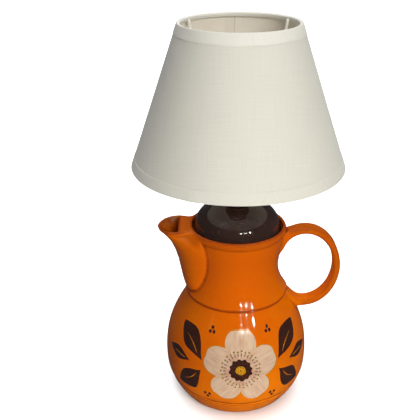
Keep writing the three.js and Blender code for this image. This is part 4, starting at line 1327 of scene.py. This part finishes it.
rows = 36
cloth_ring = [cone(0.8 + (SLANT - 1.6) * i / rows, N2) for i in range(rows + 1)] + [cone(0.8 + (SLANT - 1.6) * i / rows, N3) for i in range(rows, -1, -1)]
cloth = cloth_tube("shade_cloth", cloth_ring, LINEN, 288, cloth_wobble, [LINING], lambda p: 1 if p.normal.x * p.center.x + p.normal.y * p.center.y < 0 else 0)
ride(cloth, "shade", "shade_fabric")


def edge_noise(a, k):
    return 0.16 * math.sin(11 * a + PH[k]) + 0.10 * math.sin(23 * a + PH[k + 1]) + 0.07 * math.sin(41 * a + PH[k + 2])


def tape_ring(top):
    """A tape folded over the edge: outside, round the fold, and back inside. Points are (s, n) on the cone."""
    w, win = 10.6, 3.6
    q = [(w, -0.20), (w - 0.2, -0.08), (w - 0.6, 0.0), (w * 0.8, 0.03), (w * 0.55, 0.02), (w * 0.3, 0.0), (1.0, 0.0), (0.5, -0.06), (0.16, -0.3), (0.02, -0.75)]
    q += [(0.0, -1.5), (0.0, FOLD + 0.9), (0.10, FOLD + 0.35), (0.45, FOLD + 0.02), (1.0, FOLD), (win * 0.6, FOLD - 0.05), (win - 0.3, FOLD), (win - 0.05, FOLD + 0.10), (win, FOLD + 0.3)]
    q += [(win - 0.3, FOLD + 0.34), (1.4, FOLD + 0.34), (0.7, FOLD + 0.6), (0.5, FOLD + 1.2), (0.5, -1.2), (0.7, -0.6), (1.2, -TAPE_T + 0.02), (w * 0.5, -TAPE_T), (w - 0.2, -TAPE_T - 0.02)]
    return [cone(s_, n) if top else cone(SLANT - s_, n) for s_, n in q]


def tape_wobble(top):
    r0 = TOP_R if top else BOT_R

    def f(a, r, z):
        s_ = (TOP_Z - z) / CL if top else SLANT - (TOP_Z - z) / CL
        n = (r - (TOP_R + ((TOP_Z - z) / CL) * SL)) / CL
        d = 0.0
        dz = 0.0
        if s_ > 9.5:
            dz = edge_noise(a, 3 if top else 6) * (-1 if top else 1)
        d = 0.10 * math.sin(5 * a + PH[4]) * (1 if n > -0.5 else 0)
        join = math.radians(-82 if top else -118)
        da = (a - join + math.pi) % (2 * math.pi) - math.pi
        if n > -1.7:
            # the tape's own lap
            along = da * r0
            d += 0.34 * min(1.0, max(0.0, along / 0.7)) * min(1.0, max(0.0, (12.5 - along) / 1.5))
        return (d, dz)

    return f


def tape_uv(me):
    co = np.zeros(len(me.vertices) * 3)
    me.vertices.foreach_get("co", co)
    co = co.reshape(-1, 3)
    a = np.arctan2(co[:, 0], -co[:, 1])
    r = np.hypot(co[:, 0], co[:, 1])
    return np.stack([a * (0.1 if co[:, 2].mean() < 0.3 else 0.055), co[:, 2] + (r - r.mean())], 1)


for label, top, node in (("tape_top", True, "trim_top"), ("tape_bottom", False, "trim_bottom")):
    t = cloth_tube(label, tape_ring(top), TAPE_TOP_LIT if top else TAPE_BOTTOM_SHADED, 288, tape_wobble(top), uv=tape_uv, bias=math.radians(45))
    ride(t, "shade", node)

wr = [cone(0.9 + WIRE_R, N3 - GAP - WIRE_R), cone(SLANT - 0.9 - WIRE_R, N3 - GAP - WIRE_R)]
for label, (r, z), node in (("wire_top", wr[0], "shade_top_ring"), ("wire_bottom", wr[1], "shade_bottom_ring")):
    ring = [(r + WIRE_R * math.cos(2 * math.pi * i / 12), z + WIRE_R * math.sin(2 * math.pi * i / 12)) for i in range(12)]
    ride(lathe(label, ring, WIRE_WHITE, 144, smooth_angle=80), "shade", node)
ride(lathe("fitter_flat", rounded([(20.7, 261.8), (25.6, 261.8), (25.6, 263.8), (20.7, 263.8)], 0.5, 3), WIRE_WHITE, 96), "shade", "fitter_ring")
arm_top = cone(0.2 + ARM_R, FOLD - ARM_R + 0.35)
for i, deg in enumerate((30, 150, 270)):
    a = math.radians(deg)
    pts = [(25.55, 262.5), (27.2, 262.6), (28.6, 263.7), (29.3, 266.5), (30.2, 270.5), (32.4, 280), (39.0, 312), (45.4, 345), (50.0, 371), (51.0, 377.0), arm_top]
    ride(tube(f"arm_{i + 1}", [(r * math.cos(a), r * math.sin(a), z) for r, z in pts], ARM_R, WIRE_WHITE, 12, step=2.5), "shade", f"shade_arm_{i + 1}")

# ------------------------------------------------------------------------------------------------ stage
floor_m = Mat("floor")
fp = floor_m.coords()
floor_m.set(Base_Color=floor_m.mix(floor_m.noise(fp, 3, 2), (0.92, 0.92, 0.92), (0.94, 0.94, 0.94)), Roughness=0.75)
floor = obj_from("floor", [(-14, -14, 0), (14, -14, 0), (14, 14, 0), (-14, 14, 0)], [(0, 1, 2, 3)], floor_m, smooth=False)
floor.visible_glossy = False
floor.visible_diffuse = False

# a pale backdrop far behind everything, which lights nothing
sky_m = bpy.data.materials.new("backdrop")
sky_m.use_nodes = True
sky_m.node_tree.nodes.clear()
glow, sky_out = sky_m.node_tree.nodes.new("ShaderNodeEmission"), sky_m.node_tree.nodes.new("ShaderNodeOutputMaterial")
glow.inputs["Strength"].default_value = 1.0
sky_m.node_tree.links.new(glow.outputs[0], sky_out.inputs[0])
ring_n = 48
sky_v = [(13.5 * math.cos(2 * math.pi * k / ring_n), 13.5 * math.sin(2 * math.pi * k / ring_n), z) for z in (-0.5, 9.0) for k in range(ring_n)] + [(0, 0, 9.5)]
sky_f = [(k, (k + 1) % ring_n, ring_n + (k + 1) % ring_n, ring_n + k) for k in range(ring_n)] + [(ring_n + k, ring_n + (k + 1) % ring_n, 2 * ring_n) for k in range(ring_n)]
sky_mesh = bpy.data.meshes.new("backdrop")
sky_mesh.from_pydata(sky_v, [], sky_f)
sky_mesh.materials.append(sky_m)
sky = bpy.data.objects.new("backdrop", sky_mesh)
scene.collection.objects.link(sky)
for way in ("diffuse", "glossy", "transmission", "shadow", "volume_scatter"):
    setattr(sky, f"visible_{way}", False)

world = bpy.data.worlds.new("world")
scene.world = world
world.use_nodes = True
world.node_tree.nodes["Background"].inputs[0].default_value = (0.92, 0.95, 1.0, 1)
world.node_tree.nodes["Background"].inputs[1].default_value = 0.06


def area(name, loc, target, size, power, color=(1, 1, 1), size_y=None):
    l = bpy.data.lights.new(name, "AREA")
    l.energy, l.size, l.color = power, size, color
    if size_y:
        l.shape, l.size_y = "RECTANGLE", size_y
    o = bpy.data.objects.new(name, l)
    scene.collection.objects.link(o)
    o.location = loc
    o.rotation_euler = (Vector(target) - Vector(loc)).to_track_quat("-Z", "Y").to_euler()
    o.visible_camera = False
    return o


def polar(az, el, dist, target=(0, 0, 0.15)):
    a, e = math.radians(az), math.radians(el)
    return (target[0] + dist * math.cos(e) * math.sin(a), target[1] - dist * math.cos(e) * math.cos(a), target[2] + dist * math.sin(e))


lamps = [
    area("key", polar(21, 31, 2.6), (0, 0, 0.15), 0.7, 22, (1.0, 0.985, 1.0)),
    area("bounce", (0.1, -0.62, 0.012), (0.1, -0.62, 1.0), 0.9, 4.0, (1.0, 0.98, 0.95), 0.8),
    area("low", (0.10, -0.62, 0.014), (0, -0.04, 0.004), 0.30, 0.042, (1.0, 1.0, 0.95), 0.02),
    area("fill", polar(-60, 40, 2.8), (0, 0, 0.15), 1.4, 1.0, (0.97, 0.98, 1.0)),
    area("fill_shade", polar(-60, 40, 2.8), (0, 0, 0.3), 1.4, 1.9, (0.97, 0.98, 1.0)),
    area("back", polar(158, 34, 2.8), (0, 0, 0.2), 1.8, 20, (1.0, 1.0, 1.0)),
    area("back_left", polar(204, 30, 2.8), (0, 0, 0.2), 1.8, 18, (1.0, 1.0, 1.0)),
    area("under", (0, 0.34, 0.012), (0, 0.1, 0.4), 0.5, 2.6, (0.74, 0.88, 1.0), 0.3),
    area("roof", (0, 0.3, 4.2), (0, 0, 0), 3.0, 80, (1.0, 1.0, 1.0)),
]
for lamp in lamps:
    lamp.visible_glossy = False
bpy.data.lights["low"].spread = math.radians(14)
shade_only = bpy.data.collections.new("shade_only")
for n in ("shade_cloth", "tape_top", "tape_bottom"):
    shade_only.objects.link(bpy.data.objects[n])
bpy.data.objects["fill_shade"].light_linking.receiver_collection = shade_only
# a broad soft light for the floor alone, which keeps the ground pale right to the edge of the picture
only_floor = bpy.data.collections.new("only_floor")
only_floor.objects.link(floor)
sun = bpy.data.lights.new("floor_light", "SUN")
sun.energy, sun.angle = 3.5, math.radians(95)
sun_o = bpy.data.objects.new("floor_light", sun)
scene.collection.objects.link(sun_o)
sun_o.rotation_euler = (math.radians(8), math.radians(-6), 0)
sun_o.light_linking.receiver_collection = only_floor
# six small ceiling spots, seen as bright dots in the glaze, and the soft patches of a pale wall behind them
for az in (8.2, 20.6, 33.7):
    for el in (23.5, 27):
        area(f"spot_{az}_{el}", polar(az, el, 2.4), (0, 0, 0.12), 0.045, 2.4, (1.0, 1.0, 0.85))
area("wall_front", polar(14, 6, 2.4), (0, 0, 0.12), 0.14, 0.05, (1.0, 0.92, 0.25), 0.16)
area("wall_left", polar(-52, 20, 2.4), (0, 0, 0.12), 0.16, 0.11, (1.0, 0.92, 0.25), 0.36)
# the pale ceiling, caught by the dark lid alone
only_lid = bpy.data.collections.new("only_lid")
only_lid.objects.link(bpy.data.objects["lid_glazed"])
wall_top = area("wall_top", polar(0, 62, 2.4), (0, 0, 0.12), 1.0, 0.9, (0.72, 0.87, 1.0), 0.5)
wall_top.light_linking.receiver_collection = only_lid
scene.view_settings.view_transform = "Standard"
scene.view_settings.look = "None"
scene.view_settings.exposure = 0.0
